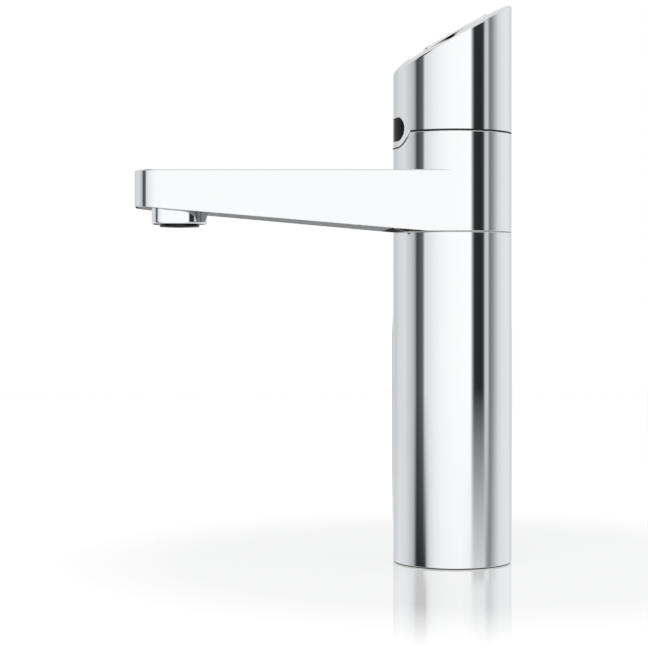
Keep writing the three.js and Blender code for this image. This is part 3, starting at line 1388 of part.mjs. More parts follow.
add('swivel_housing', swivelHousing(), brass);
add('stop_pin', stopPin(), steel);
add('lower_bush', lowerBush(), acetal);
add('upper_bush', upperBush(), acetal);
add('swivel_o_ring', swivelORing(), blackRubber);
add('swivel_spigot', swivelSpigot(), brass);
add('retaining_ring', retainingRing(), springSteel);
SPIGOT_SCREW_ANGLES.forEach((angle, i) => {
  const grip = COLLAR_FLOOR - BLIND_FLOOR - LOOSE_FIT;
  const screw = add(`spigot_screw_${i + 1}`, panScrew(SPIGOT_FLANGE_THICKNESS + grip), steel);
  screw.position.copy(onCircle(spigotScrewCircle, angle, flangeTop + SEAT_GAP));
});

add('spout_body', spoutBody(), chrome);
add('underside_plate', undersidePlate(), satinMetal);
plateScrews.forEach(({ distance, y }, i) => {
  const screw = add(`plate_screw_${i + 1}`, countersunkScrew(PLATE_THICKNESS + PLATE_SCREW_GRIP), steel);
  screw.position.set(-distance, y, undersideZ(distance) + PLATE_RECESS + SEAT_GAP);
  screw.rotation.x = Math.PI;
});
add('nozzle_housing', nozzleHousing(), chrome);
add('water_manifold', waterManifold(), brass);
add('aerator_insert', aeratorInsert(), blackPlastic);
add('flow_straightener', flowStraightener(), acetal);
add('aerator_washer', aeratorWasher(), blackRubber);
add('boiling_hose', hose(HOSE_X, HOSE_Y, HOSE_RADIUS), silicone);
add('chilled_hose', hose(HOSE_X, -HOSE_Y, HOSE_RADIUS), silicone);
add('vent_hose', hose(VENT_X, 0, VENT_RADIUS), silicone);
add('control_cable', controlCable(), blackPlastic);

add('joining_ring', joiningRing(), blackPlastic);
LUG_ANGLES.forEach((angle, i) => {
  const shank = RING_FLANGE_THICKNESS + LUG_HEIGHT - LOOSE_FIT;
  const screw = add(`ring_screw_${i + 1}`, panScrew(shank), steel);
  screw.position.copy(onCircle(lugScrewCircle, angle, ringBottom + RING_FLANGE_THICKNESS + SEAT_GAP));
});
add('head_shell', headShell(), chrome);
add('head_grub_screw', grubScrew(), steel);
add('window_lens', windowLens(), darkGlass);
add('indicator_board', indicatorBoard(), boardGreen);
add('indicator_light_red', indicatorLight(1), lightRed);
add('indicator_light_blue', indicatorLight(-1), lightBlue);
add('indicator_lead', indicatorLead(), blackPlastic);

add('key_carrier', keyCarrier(), blackPlastic, slopingFace);
add('key_board', keyBoard(), boardGreen, slopingFace);
[-carrierPostX, carrierPostX].forEach((x, i) => {
  add(`carrier_screw_${i + 1}`, carrierScrew(x), steel, slopingFace);
});
add('board_connector', boardConnector(), blackPlastic, slopingFace);
for (const [name, key] of Object.entries(keys)) {
  add(`${name}_switch`, keySwitch(key), blackPlastic, slopingFace);
  add(`${name}_spring`, keySpring(key), springSteel, slopingFace);
}
add('boiling_pad', pad(keys.boiling), chrome, slopingFace);
add('chilled_pad', pad(keys.chilled), chrome, slopingFace);
add('lock_key', lockKey(keys.lock), chrome, slopingFace);

export default tap;
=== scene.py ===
"""Visual model of a boiling water tap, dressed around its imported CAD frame.

Sizes are in millimetres until a mesh is made. The frame is the CAD's: +Z up, the origin in the
middle of the foot, and the spout along -X.
"""

import json
import logging
import math
from collections.abc import Callable, Iterator, Sequence
from contextlib import contextmanager
from dataclasses import dataclass, field
from enum import Enum

import bmesh
import bpy
from mathutils import Matrix, Vector

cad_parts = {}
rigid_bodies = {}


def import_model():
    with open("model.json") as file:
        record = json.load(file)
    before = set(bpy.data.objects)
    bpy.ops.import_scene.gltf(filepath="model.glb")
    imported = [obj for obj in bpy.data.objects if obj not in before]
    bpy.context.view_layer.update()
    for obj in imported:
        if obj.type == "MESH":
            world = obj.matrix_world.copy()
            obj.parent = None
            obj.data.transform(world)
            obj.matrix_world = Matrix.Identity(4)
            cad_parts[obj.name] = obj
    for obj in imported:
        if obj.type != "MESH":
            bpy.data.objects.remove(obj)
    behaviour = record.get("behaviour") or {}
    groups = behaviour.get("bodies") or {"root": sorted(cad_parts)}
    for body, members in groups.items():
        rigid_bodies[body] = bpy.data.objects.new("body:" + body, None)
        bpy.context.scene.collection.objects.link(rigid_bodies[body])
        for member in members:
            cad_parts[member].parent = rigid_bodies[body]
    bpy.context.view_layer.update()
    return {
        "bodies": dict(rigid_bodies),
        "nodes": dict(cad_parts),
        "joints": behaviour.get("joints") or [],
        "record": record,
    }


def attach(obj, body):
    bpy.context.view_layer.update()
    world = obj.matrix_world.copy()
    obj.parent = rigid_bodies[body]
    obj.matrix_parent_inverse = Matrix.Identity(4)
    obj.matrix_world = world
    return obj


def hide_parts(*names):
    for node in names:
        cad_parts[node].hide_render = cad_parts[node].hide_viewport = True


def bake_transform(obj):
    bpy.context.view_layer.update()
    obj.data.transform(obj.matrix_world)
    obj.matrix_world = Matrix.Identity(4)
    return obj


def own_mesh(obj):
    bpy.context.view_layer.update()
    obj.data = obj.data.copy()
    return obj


LOG = logging.getLogger("tap")
MM = 0.001
ROUND_STEPS = 360  # facets round the polished body
SMALL_STEPS = 64  # facets round small turned pieces
EDGE_STEPS = 6  # facets across a small rounding
WELD = 0.002  # points closer than this become one

Vector2 = tuple[float, float]
Vector3 = tuple[float, float, float]
Colour = Vector3
Profile = list[Vector2]
Outline = list[Vector2]
Ring = list[Vector3]
Socket = bpy.types.NodeSocket


class Body(Enum):
    """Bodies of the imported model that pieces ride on."""

    COLUMN = "column"
    SPOUT = "spout"
    BOILING = "boiling_button"
    CHILLED = "chilled_button"
    LOCK = "lock_button"


class Slot(Enum):
    """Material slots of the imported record."""

    CHROME = "polished_chrome"
    SATIN = "satin_metal"
    BRASS = "brass"
    STEEL = "stainless_steel"
    SPRING = "spring_steel"
    ACETAL = "pale_acetal"
    RUBBER = "black_rubber"
    PLASTIC = "black_plastic"
    LENS = "dark_lens"
    SILICONE = "clear_silicone"
    BOARD = "circuit_board"
    RED_LIGHT = "red_light"
    BLUE_LIGHT = "blue_light"


class Cut(Enum):
    """How one solid is combined with another."""

    JOIN = "UNION"
    REMOVE = "DIFFERENCE"
    KEEP = "INTERSECT"


# ---- Sizes shared by the sub-assemblies ----


@dataclass(frozen=True)
class Levels:
    """Heights and radii that more than one sub-assembly is built from; angles in degrees."""

    body_radius: float = 30.0
    seal_top: float = 0.6
    column_top: float = 165.2
    collar_bottom: float = 165.65
    collar_top: float = 214.65
    spout_top: float = 195.7
    spout_wall: float = 2.4
    spout_reach: float = 159.05
    tip_corner: float = 12.0
    underside_start: float = 16.3
    underside_slope: float = 4.86
    spout_taper: float = 4.0
    head_bottom: float = 215.5
    slant_axis_z: float = 264.1
    slant_angle: float = math.radians(29.5)  # in radians, as it is mostly used
    window_z: float = 216.8
    window_width: float = 29.5
    window_height: float = 11.7
    nozzle_distance: float = 137.0
    hose_run_z: float = 188.05

    def underside_z(self, distance: float) -> float:
        """Height of the spout's underside at a distance in front of the axis."""
        rise = math.tan(math.radians(self.underside_slope))
        return self.collar_bottom + rise * (distance - self.underside_start)

    def spout_half_width(self, distance: float, inset: float = 0.0) -> float:
        """Half the spout's width at a distance in front of the axis, less an inset."""
        taper = math.radians(self.spout_taper)
        return (self.body_radius - inset) / math.cos(taper) - distance * math.tan(taper)

    def slant_z(self, x: float, depth: float = 0.0) -> float:
        """Height at x of a plane the given depth below the sloping face."""
        rise = math.tan(self.slant_angle) * x
        return self.slant_axis_z + rise - depth / math.cos(self.slant_angle)

    def slant_frame(self) -> Matrix:
        """Frame of the sloping face: local z = 0 is the face."""
        turn = Matrix.Rotation(-self.slant_angle, 4, "Y")
        return Matrix.Translation((0.0, 0.0, self.slant_axis_z)) @ turn


LEVELS = Levels()


# ---- Outlines and profiles ----


def arc(centre: Vector2, radius: float, start: float, end: float, steps: int) -> Outline:
    """Points along an arc, both ends included.

    Args:
        centre: Middle of the arc.
        radius: Its radius.
        start: First angle in degrees.
        end: Last angle in degrees.
        steps: Number of chords.

    Returns:
        The points in order.
    """
    points = []
    for i in range(steps + 1):
        turn = math.radians(start + (end - start) * i / steps)
        points.append((centre[0] + radius * math.cos(turn), centre[1] + radius * math.sin(turn)))
    return points


def rounded_rectangle(
    length: float, width: float, corner: float, steps: int = 12, back: float | None = None
) -> Outline:
    """A rectangle with round corners about the origin, anticlockwise.

    Args:
        length: Size along X.
        width: Size along Y.
        corner: Radius of the corners.
        steps: Chords of each corner.
        back: Radius of the two corners on the +X side, if it is another one.

    Returns:
        The outline's points.
    """
    back = corner if back is None else back
    front_x, front_y = length / 2 - corner, width / 2 - corner
    back_x, back_y = length / 2 - back, width / 2 - back
    return [
        *arc((back_x, -back_y), back, -90, 0, steps),
        *arc((back_x, back_y), back, 0, 90, steps),
        *arc((-front_x, front_y), corner, 90, 180, steps),
        *arc((-front_x, -front_y), corner, 180, 270, steps),
    ]


def window_outline(growth: float, steps: int = 40) -> Outline:
    """The window's outline in y and z, or one grown from it, anticlockwise from +X."""
    height, middle, flat = LEVELS.window_height / 2 + growth, LEVELS.window_z, 24
    centre = (LEVELS.window_width - LEVELS.window_height) / 2
    lower = [(-centre + 2 * centre * i / flat, middle - height) for i in range(flat)]
    upper = [(centre - 2 * centre * i / flat, middle + height) for i in range(flat)]
    right = arc((centre, middle), height, -90, 90, steps)[:-1]
    left = arc((-centre, middle), height, 90, 270, steps)[:-1]
    return [*lower, *right, *upper, *left]


def spout_outline(inset: float, start: float | None = None, steps: int = 32) -> Outline:
    """The spout's plan, anticlockwise, less an inset all round.

    Args:
        inset: How far the outline lies inside the spout's outside.
        start: Distance in front of the axis where the outline is cut off square, or None
            for the lines where its sides run off the round body.
        steps: Chords of each corner of the tip.

    Returns:
        The outline's points.
    """
    taper = math.radians(LEVELS.spout_taper)
    radius, corner = LEVELS.body_radius - inset, LEVELS.tip_corner - inset
    tip = LEVELS.spout_reach - inset
    if start is None:
        x, y = -radius * math.sin(taper), radius * math.cos(taper)
    else:
        x, y = -start, LEVELS.spout_half_width(start, inset)
    corner_y = LEVELS.spout_half_width(tip - corner, inset) - corner / math.cos(taper)
    far = arc((corner - tip, corner_y), corner, 90 + LEVELS.spout_taper, 180, steps)
    near = arc((corner - tip, -corner_y), corner, 180, 270 - LEVELS.spout_taper, steps)
    return [(x, -y), (x, y), *far, *near]


def rounding(radius: float, steps: int = EDGE_STEPS) -> Profile:
    """Inset and drop of a rounded edge, from the wall up to the face it turns into."""
    points = []
    for i in range(steps + 1):
        turn = math.pi / 2 * i / steps
        points.append((radius * (1 - math.cos(turn)), radius * (1 - math.sin(turn))))
    return points


def lower_edge(radius: float, height: float, soft: float, steps: int) -> Profile:
    """Rounded lower outer edge of a turned piece, going up."""
    return [(radius - i, height + d) for i, d in reversed(rounding(soft, steps))]


def upper_edge(radius: float, height: float, soft: float, steps: int = EDGE_STEPS) -> Profile:
    """Rounded upper outer edge of a turned piece, going up."""
    return [(radius - i, height - d) for i, d in rounding(soft, steps)]


def at_height(outline: Outline, height: float) -> Ring:
    """An outline in x and y as a ring of points at one height."""
    return [(x, y, height) for x, y in outline]


def over_underside(outline: Outline, height: float) -> Ring:
    """An outline in x and y as a ring of points so far above the spout's underside."""
    return [(x, y, LEVELS.underside_z(-x) + height) for x, y in outline]


def between_rings(count: int, levels: int) -> list[list[int]]:
    """Faces between rings of so many points, which are numbered ring by ring from below."""
    faces = []
    for level in range(levels):
        for i in range(count):
            a, b = level * count + i, level * count + (i + 1) % count
            faces.append([a, b, b + count, a + count])
    return faces


# ---- Solids ----


@contextmanager
def editing(mesh: bpy.types.Mesh) -> Iterator[bmesh.types.BMesh]:
    """Opens a mesh for changes and writes them back."""
    work = bmesh.new()
    work.from_mesh(mesh)
    yield work
    work.to_mesh(mesh)
    work.free()


@dataclass
class Solid:
    """A closed mesh under construction, with what is done to it.

    Attributes:
        thing: The Blender object that holds the mesh, in metres.
    """

    thing: bpy.types.Object

    @classmethod
    def from_faces(
        cls, name: str, points: Sequence[Sequence[float]], faces: Sequence[Sequence[int]]
    ) -> "Solid":
        """Makes a solid from points in millimetres and the faces between them."""
        mesh = bpy.data.meshes.new(name)
        mesh.from_pydata([[c * MM for c in point] for point in points], [], faces)
        mesh.validate()
        mesh.update()
        thing = bpy.data.objects.new(name, mesh)
        bpy.context.scene.collection.objects.link(thing)
        return cls(thing)

    @classmethod
    def turned(cls, name: str, profile: Profile, steps: int = SMALL_STEPS) -> "Solid":
        """A solid of revolution about Z.

        Args:
            name: Name of the piece.
            profile: Radius and height of each point, going up on the outside. It starts and
                ends on the axis, or its last point meets its first.
            steps: Facets round the axis.

        Returns:
            The solid.
        """
        closed = profile[0][0] > 0
        points: Ring = []
        rows: list[list[int]] = []
        for radius, height in profile:
            if radius == 0:
                rows.append([len(points)] * steps)
                points.append((0.0, 0.0, height))
                continue
            rows.append(list(range(len(points), len(points) + steps)))
            for j in range(steps):
                turn = 2 * math.pi * (j + 0.5) / steps
                points.append((radius * math.cos(turn), radius * math.sin(turn), height))
        if closed:
            rows.append(rows[0])
        faces = []
        for low, high in zip(rows, rows[1:]):
            for j in range(steps):
                k = (j + 1) % steps
                corners = list(dict.fromkeys([low[j], low[k], high[k], high[j]]))
                if len(corners) > 2:
                    faces.append(corners)
        return cls.from_faces(name, points, faces)

    @classmethod
    def pin(cls, name: str, radius: float, low: float, high: float, steps: int = 32) -> "Solid":
        """A plain upright pin or cutter on the axis."""
        return cls.turned(name, [(0, low), (radius, low), (radius, high), (0, high)], steps)

    @classmethod
    def tube(cls, name: str, inner: float, outer: float, low: float, high: float) -> "Solid":
        """A plain ring about the axis, to be trimmed."""
        profile = [(inner, low), (outer, low), (outer, high), (inner, high)]
        return cls.turned(name, profile, ROUND_STEPS)

    @classmethod
    def lofted(cls, name: str, rings: Sequence[Ring]) -> "Solid":
        """A solid through rings of points with the same count, anticlockwise from above."""
        count, levels = len(rings[0]), len(rings) - 1
        points = [point for ring in rings for point in ring]
        bottom = list(range(count - 1, -1, -1))
        top = list(range(levels * count, (levels + 1) * count))
        return cls.from_faces(name, points, [*between_rings(count, levels), bottom, top])

    @classmethod
    def upright(cls, name: str, outline: Outline, bottom: float, top: float) -> "Solid":
        """An outline drawn in x and y as a straight solid from bottom to top."""
        return cls.lofted(name, [at_height(outline, z) for z in (bottom, top)])

    @classmethod
    def along_x(cls, name: str, outline: Outline, start: float, end: float) -> "Solid":
        """An outline drawn in y and z as a straight solid along X."""
        return cls.lofted(name, [[(x, y, z) for y, z in outline] for x in (start, end)])

    @classmethod
    def block(cls, name: str, low: Sequence[float], high: Sequence[float]) -> "Solid":
        """A plain cutter between two corners."""
        outline = [(low[0], low[1]), (high[0], low[1]), (high[0], high[1]), (low[0], high[1])]
        return cls.upright(name, outline, low[2], high[2])

    @classmethod
    def swept(cls, name: str, path: Sequence[Vector], radius: float, sides: int = 24) -> "Solid":
        """A round tube or wire along a path.

        Args:
            name: Name of the piece.
            path: Points in millimetres along its middle.
            radius: Radius of the section.
            sides: Facets round the section.

        Returns:
            The solid, with flat ends.
        """
        tangents = []
        for i in range(len(path)):
            ahead = path[min(i + 1, len(path) - 1)]
            behind = path[max(i - 1, 0)]
            tangents.append((ahead - behind).normalized())
        side = tangents[0].orthogonal().normalized()
        rings: list[Ring] = []
        for i, point in enumerate(path):
            side = (side - tangents[i] * side.dot(tangents[i])).normalized()
            other = tangents[i].cross(side)
            ring = []
            for j in range(sides):
                turn = 2 * math.pi * j / sides
                place = point + radius * (math.cos(turn) * side + math.sin(turn) * other)
                ring.append(tuple(place))
            rings.append(ring)
        return cls.lofted(name, rings)

    def combine(self, tool: "Solid", how: Cut) -> "Solid":
        """Joins, cuts or trims the solid with a tool, which is used up."""
        change = self.thing.modifiers.new(how.name, "BOOLEAN")
        change.operation = how.value
        change.solver = "EXACT"
        change.object = tool.thing
        self._keep_result()
        bpy.data.objects.remove(tool.thing)
        with editing(self.thing.data) as seams:
            bmesh.ops.remove_doubles(seams, verts=seams.verts, dist=WELD * MM)
        return self

    def gather(self, other: "Solid") -> "Solid":
        """Takes in another solid that it does not touch, which is used up."""
        with editing(self.thing.data) as meshes:
            meshes.from_mesh(other.thing.data)
        bpy.data.objects.remove(other.thing)
        return self

    def moved(self, matrix: Matrix) -> "Solid":
        """Moves the mesh by a matrix whose shift is in millimetres."""
        metric = matrix.copy()
        metric.translation = matrix.translation * MM
        self.thing.data.transform(metric)
        return self

    def shifted(self, x: float, y: float, z: float) -> "Solid":
        """Shifts the mesh by so many millimetres."""
        return self.moved(Matrix.Translation((x, y, z)))

    def sloped(self, fold: float, below: float, rise: float) -> "Solid":
        """Lifts the lower part beyond a line across the solid, with an edge along the line.

        Args:
            fold: The line's x; what lies on its -X side is lifted.
            below: Height under which points are lifted.
            rise: Lift per millimetre away from the line.

        Returns:
            The solid itself.
        """
        line = (fold * MM, 0.0, 0.0)
        with editing(self.thing.data) as body:
            parts = [*body.verts, *body.edges, *body.faces]
            bmesh.ops.bisect_plane(body, geom=parts, plane_co=line, plane_no=(1.0, 0.0, 0.0))
            for point in body.verts:
                if point.co.z < below * MM:
                    point.co.z += rise * max(0.0, fold * MM - point.co.x)
        return self

    def smoothed(self, skins: Sequence["Skin"] = (), sharp: float = 32.0) -> "Solid":
        """Gives the mesh true normals: those of its curved skins, and flat faces elsewhere.

        Args:
            skins: The exact surfaces that some of its faces lie on.
            sharp: Edges that turn by more degrees than this stay sharp.

        Returns:
            The same solid.
        """
        mesh = self.thing.data
        mesh.shade_smooth()
        mesh.set_sharp_from_angle(angle=math.radians(sharp))
        weigh = self.thing.modifiers.new("Weigh", "WEIGHTED_NORMAL")
        weigh.keep_sharp = True
        weigh.weight = 100
        self._keep_result()
        mesh = self.thing.data
        normals = [Vector(corner.vector) for corner in mesh.corner_normals]
        for face in mesh.polygons:
            for skin in skins:
                if skin.holds(face.center / MM, face.normal):
                    for corner in face.loop_indices:
                        place = mesh.vertices[mesh.loops[corner].vertex_index].co / MM
                        normals[corner] = skin.normal(place)
                    break
        mesh.normals_split_custom_set(normals)
        return self

    def _keep_result(self) -> None:
        """Applies the modifiers."""
        graph = bpy.context.evaluated_depsgraph_get()
        result = bpy.data.meshes.new_from_object(self.thing.evaluated_get(graph))
        self.thing.modifiers.clear()
        old = self.thing.data
        self.thing.data = result
        bpy.data.meshes.remove(old)
        result.name = self.thing.name

    def finished(
        self, body: Body, slot: Slot, *nodes: str, finish: "Finish | None" = None
    ) -> bpy.types.Object:
        """Dresses the solid and sets it on its body in place of CAD nodes.

        Args:
            body: Body that it rides on.
            slot: Its material slot.
            *nodes: CAD nodes that it stands for.
            finish: Its finish, if it is not the slot's own.

        Returns:
            The Blender object.
        """
        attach(self.thing, body.value)
        dress(self.thing, slot, finish)
        if nodes:
            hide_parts(*nodes)
        return self.thing


@dataclass(frozen=True)
class Skin:
    """An exact surface that faces of a solid may lie on: here an upright round wall.

    Attributes:
        radius: Radius of the wall.
        x: Place of its axis.
        y: Place of its axis.
        inward: True for a bore.
    """

    radius: float
    x: float = 0.0
    y: float = 0.0
    inward: bool = False

    def holds(self, place: Vector, normal: Vector) -> bool:
        """True if a face with that middle and normal lies on the wall."""
        out = Vector((place.x - self.x, place.y - self.y, 0.0))
        if abs(out.length - self.radius) > 0.03 or abs(normal.z) > 0.02:
            return False
        facing = out.normalized().dot(normal)
        return facing < -0.98 if self.inward else facing > 0.98

    def normal(self, place: Vector) -> Vector:
        """Normal of the wall at a point."""
        out = Vector((place.x - self.x, place.y - self.y, 0.0)).normalized()
        return -out if self.inward else out


@dataclass(frozen=True)
class FlatSkin(Skin):
    """A flat face of a solid, known by its normal.

    Attributes:
        facing: The normal.
    """

    radius: float = 0.0
    facing: Vector3 = (0.0, 0.0, 1.0)

    def holds(self, place: Vector, normal: Vector) -> bool:
        """True if a face with that normal lies on the plane."""
        return normal.dot(Vector(self.facing)) > 0.99995

    def normal(self, place: Vector) -> Vector:
        """Normal of the plane."""
        return Vector(self.facing)


def window_block(growth: float) -> Solid:
    """Cutter through the front wall with the window's outline, or one grown from it."""
    return Solid.along_x("window_block", window_outline(growth), -70.0, -15.0)


# ---- Finishes ----


class Wiring:
    """A node tree while it is wired up."""

    def __init__(self, tree: bpy.types.NodeTree) -> None:
        """Takes the tree to be wired."""
        self.tree = tree

    def add(self, kind: str, **settings: object) -> bpy.types.Node:
        """Adds a node with its plain settings."""
        node = self.tree.nodes.new(kind)
        for key, value in settings.items():
            setattr(node, key, value)
        return node

    def link(self, source: Socket, target: Socket) -> None:
        """Joins two sockets."""
        self.tree.links.new(source, target)

    def joined(self, operation: str, first: Socket, *others: Socket) -> Socket:
        """Values brought together by the same operation, one after the other."""
        for other in others:
            node = self.add("ShaderNodeMath", operation=operation)
            self.link(first, node.inputs[0])
            self.link(other, node.inputs[1])
            first = node.outputs["Value"]
        return first

    def mixed(self, share: Socket, first: Socket | float, second: Socket | float) -> Socket:
        """A colour or grey that goes from the first to the second as the share grows."""
        mix = self.add("ShaderNodeMix", data_type="RGBA")
        self.link(share, mix.inputs["Factor"])
        for name, colour in (("A", first), ("B", second)):
            if isinstance(colour, float):
                mix.inputs[name].default_value = (colour, colour, colour, 1.0)
            else:
                self.link(colour, mix.inputs[name])
        return mix.outputs["Result"]

    def blend(self, share: Socket, first: Socket, second: Socket) -> Socket:
        """A shader that goes from the first to the second as the share grows."""
        mix = self.add("ShaderNodeMixShader")
        self.link(share, mix.inputs["Fac"])
        self.link(first, mix.inputs[1])
        self.link(second, mix.inputs[2])
        return mix.outputs["Shader"]

    def mapped(self, value: Socket, source: Vector2, target: Vector2) -> Socket:
        """A value moved from one range to another.

        Args:
            value: The value's socket.
            source: Range that it comes in.
            target: Range that it goes out in, which it never leaves.

        Returns:
            The result's socket.
        """
        node = self.add("ShaderNodeMapRange")
        node.inputs["From Min"].default_value, node.inputs["From Max"].default_value = source
        node.inputs["To Min"].default_value, node.inputs["To Max"].default_value = target
        self.link(value, node.inputs["Value"])
        return node.outputs["Result"]


class Nodes(Wiring):
    """A material's node tree while it is wired up."""

    def __init__(self, name: str) -> None:
        """Starts a material with a shader and an output."""
        self.made = bpy.data.materials.new(name)
        self.made.use_nodes = True
        super().__init__(self.made.node_tree)
        self.shader = self.tree.nodes["Principled BSDF"]

    def set(self, **values: float | Sequence[float]) -> None:
        """Sets plain values of the shader, such as base_color, specular_ior_level or ior."""
        names = {socket.name.lower().replace(" ", "_"): socket for socket in self.shader.inputs}
        for name, value in values.items():
            names[name].default_value = value

    def noise(self, scale: float, detail: float, stretch: Vector3 = (1, 1, 1)) -> Socket:
        """Noise fixed to the piece.

        Args:
            scale: Spots per metre.
            detail: Number of finer layers.
            stretch: How much faster it changes along each axis.

        Returns:
            Its value's socket.
        """
        place = self.add("ShaderNodeTexCoord")
        mapping = self.add("ShaderNodeMapping")
        mapping.inputs["Scale"].default_value = stretch
        texture = self.add("ShaderNodeTexNoise")
        texture.inputs["Scale"].default_value = scale
        texture.inputs["Detail"].default_value = detail
        self.link(place.outputs["Object"], mapping.inputs["Vector"])
        self.link(mapping.outputs["Vector"], texture.inputs["Vector"])
        return texture.outputs["Fac"]

    def spread(self, value: Socket, low: float, high: float) -> Socket:
        """Spreads a noise's middle range between two values."""
        return self.mapped(value, (0.3, 0.7), (low, high))

    def tint(self, value: Socket, first: Colour, second: Colour) -> Socket:
        """A colour that a noise's middle range moves between two colours."""
        ramp = self.add("ShaderNodeValToRGB")
        stops = ramp.color_ramp.elements
        stops[0].position, stops[1].position = 0.3, 0.7
        stops[0].color, stops[1].color = (*first, 1.0), (*second, 1.0)
        self.link(value, ramp.inputs["Fac"])
        return ramp.outputs["Color"]

    def bump(self, value: Socket, depth: float) -> None:
        """Drives the shader's normal by a height of so many metres."""
        node = self.add("ShaderNodeBump")
        node.inputs["Strength"].default_value = 1.0
        node.inputs["Distance"].default_value = depth
        self.link(value, node.inputs["Height"])
        self.link(node.outputs["Normal"], self.shader.inputs["Normal"])


@dataclass(frozen=True)
class Finish:
    """What every finish has.

    Attributes:
        name: Name of the material.
        colour: Main colour.
        second_colour: Colour that patches of it lean to.
        roughness: Lowest and highest roughness.
        grain: Spots of its grain per metre.
        grain_depth: Height of the grain in metres.
        stretch: How much faster the grain changes along each axis.
        metallic: 1 for metal.
    """

    name: str
    colour: Colour
    second_colour: Colour
    roughness: Vector2
    grain: float
    grain_depth: float
    stretch: Vector3 = (1.0, 1.0, 1.0)
    metallic: float = 0.0

    def material(self) -> bpy.types.Material:
        """The finish's material, made once."""
        found = bpy.data.materials.get(self.name)
        if found is not None:
            return found
        nodes = Nodes(self.name)
        nodes.set(metallic=self.metallic)
        self.wire(nodes)
        return nodes.made

    def wire(self, nodes: Nodes) -> None:
        """Wires colour, roughness and grain into the shader."""
        patches = nodes.noise(self.grain / 12, 4.0)
        colour = nodes.tint(patches, self.colour, self.second_colour)
        nodes.link(colour, nodes.shader.inputs["Base Color"])
        grain = nodes.noise(self.grain, 4.0, self.stretch)
        nodes.link(nodes.spread(grain, *self.roughness), nodes.shader.inputs["Roughness"])
        nodes.bump(grain, self.grain_depth)


@dataclass(frozen=True)
class PolishedChrome(Finish):
    """Mirror-polished plating with faint wipe marks and water spots.

    Attributes:
        marks: Wipe marks per metre.
    """

    marks: float = 60.0

    def wire(self, nodes: Nodes) -> None:
        """Wires a near-even colour, hazy marks in the roughness and a ghost of waviness."""
        clouds = nodes.noise(24.0, 3.0)
        colour = nodes.tint(clouds, self.colour, self.second_colour)
        nodes.link(colour, nodes.shader.inputs["Base Color"])
        wipes = nodes.noise(self.marks, 6.0, (1.0, 1.0, 0.35))
        nodes.link(nodes.spread(wipes, *self.roughness), nodes.shader.inputs["Roughness"])
        nodes.bump(nodes.noise(self.grain, 2.0), self.grain_depth)


@dataclass(frozen=True)
class SatinPlating(Finish):
    """Matt plating that stays dark at a glancing angle.

    Attributes:
        glancing: Share of its surroundings that it mirrors there.
    """

    glancing: float = 0.58

    def wire(self, nodes: Nodes) -> None:
        """Darkens the glancing mirror of the plain wiring."""
        super().wire(nodes)
        nodes.set(specular_tint=(*[self.glancing] * 3, 1.0))


@dataclass(frozen=True)
class DarkGloss(Finish):
    """Dark glossy plastic that mirrors little but at a glancing angle.

    Attributes:
        bending: Its refractive index, which the strength of the mirror follows.
    """

    bending: float = 1.12

    def wire(self, nodes: Nodes) -> None:
        """Weakens the mirror of the plain wiring."""
        super().wire(nodes)
        nodes.set(ior=self.bending)


@dataclass(frozen=True)
class Translucent(Finish):
    """Milky or tinted plastic that light goes into.

    Attributes:
        depth: How far light wanders in it, in metres.
    """

    depth: float = 0.002

    def wire(self, nodes: Nodes) -> None:
        """Adds light inside to the plain wiring."""
        super().wire(nodes)
        nodes.set(subsurface_weight=0.3, subsurface_scale=self.depth)


FINISHES: dict[Slot, Finish] = {
    Slot.CHROME: PolishedChrome(
        "polished chrome", (0.925, 0.927, 0.93), (0.91, 0.913, 0.917), (0.02, 0.045), 400.0, 2e-7,
        metallic=1.0,
    ),
    Slot.SATIN: SatinPlating(
        "satin plating", (0.3, 0.305, 0.31), (0.27, 0.275, 0.28), (0.26, 0.4), 2600.0, 3e-6,
        (0.15, 2.4, 2.4), 1.0,
    ),
    Slot.BRASS: Finish(
        "machined brass", (0.7, 0.53, 0.27), (0.58, 0.42, 0.2), (0.22, 0.36), 1800.0, 4e-6,
        (0.3, 0.3, 4.0), 1.0,
    ),
    Slot.STEEL: Finish(
        "stainless steel", (0.6, 0.61, 0.62), (0.5, 0.51, 0.52), (0.2, 0.34), 2200.0, 3e-6,
        metallic=1.0,
    ),
    Slot.SPRING: Finish(
        "drawn spring steel", (0.52, 0.53, 0.54), (0.42, 0.43, 0.44), (0.22, 0.36), 3000.0, 2e-6,
        metallic=1.0,
    ),
    Slot.ACETAL: Finish(
        "pale acetal", (0.8, 0.8, 0.76), (0.76, 0.76, 0.71), (0.38, 0.5), 1500.0, 4e-6
    ),
    Slot.RUBBER: Finish(
        "black rubber", (0.022, 0.022, 0.023), (0.035, 0.034, 0.034), (0.6, 0.8), 2200.0, 1.2e-5
    ),
    Slot.PLASTIC: Finish(
        "black plastic", (0.012, 0.012, 0.014), (0.02, 0.02, 0.022), (0.28, 0.42), 2600.0, 6e-6
    ),
    Slot.LENS: DarkGloss(
        "smoked lens", (0.003, 0.0035, 0.005), (0.006, 0.007, 0.009), (0.03, 0.06), 500.0, 1e-7
    ),
    Slot.SILICONE: Translucent(
        "milky silicone", (0.78, 0.77, 0.72), (0.72, 0.71, 0.66), (0.4, 0.55), 900.0, 1e-5
    ),
    Slot.BOARD: Finish(
        "lacquered board", (0.03, 0.16, 0.08), (0.02, 0.11, 0.055), (0.25, 0.45), 900.0, 1.5e-5
    ),
    Slot.RED_LIGHT: Translucent(
        "red light", (0.5, 0.03, 0.02), (0.42, 0.02, 0.015), (0.12, 0.22), 900.0, 1e-6
    ),
    Slot.BLUE_LIGHT: Translucent(
        "blue light", (0.03, 0.12, 0.5), (0.02, 0.09, 0.42), (0.12, 0.22), 900.0, 1e-6
    ),
}
GLOSSY_PLASTIC = DarkGloss(
    "glossy black plastic", (0.004, 0.004, 0.005), (0.008, 0.008, 0.009), (0.06, 0.14), 900.0,
    1e-6, bending=1.3,
)


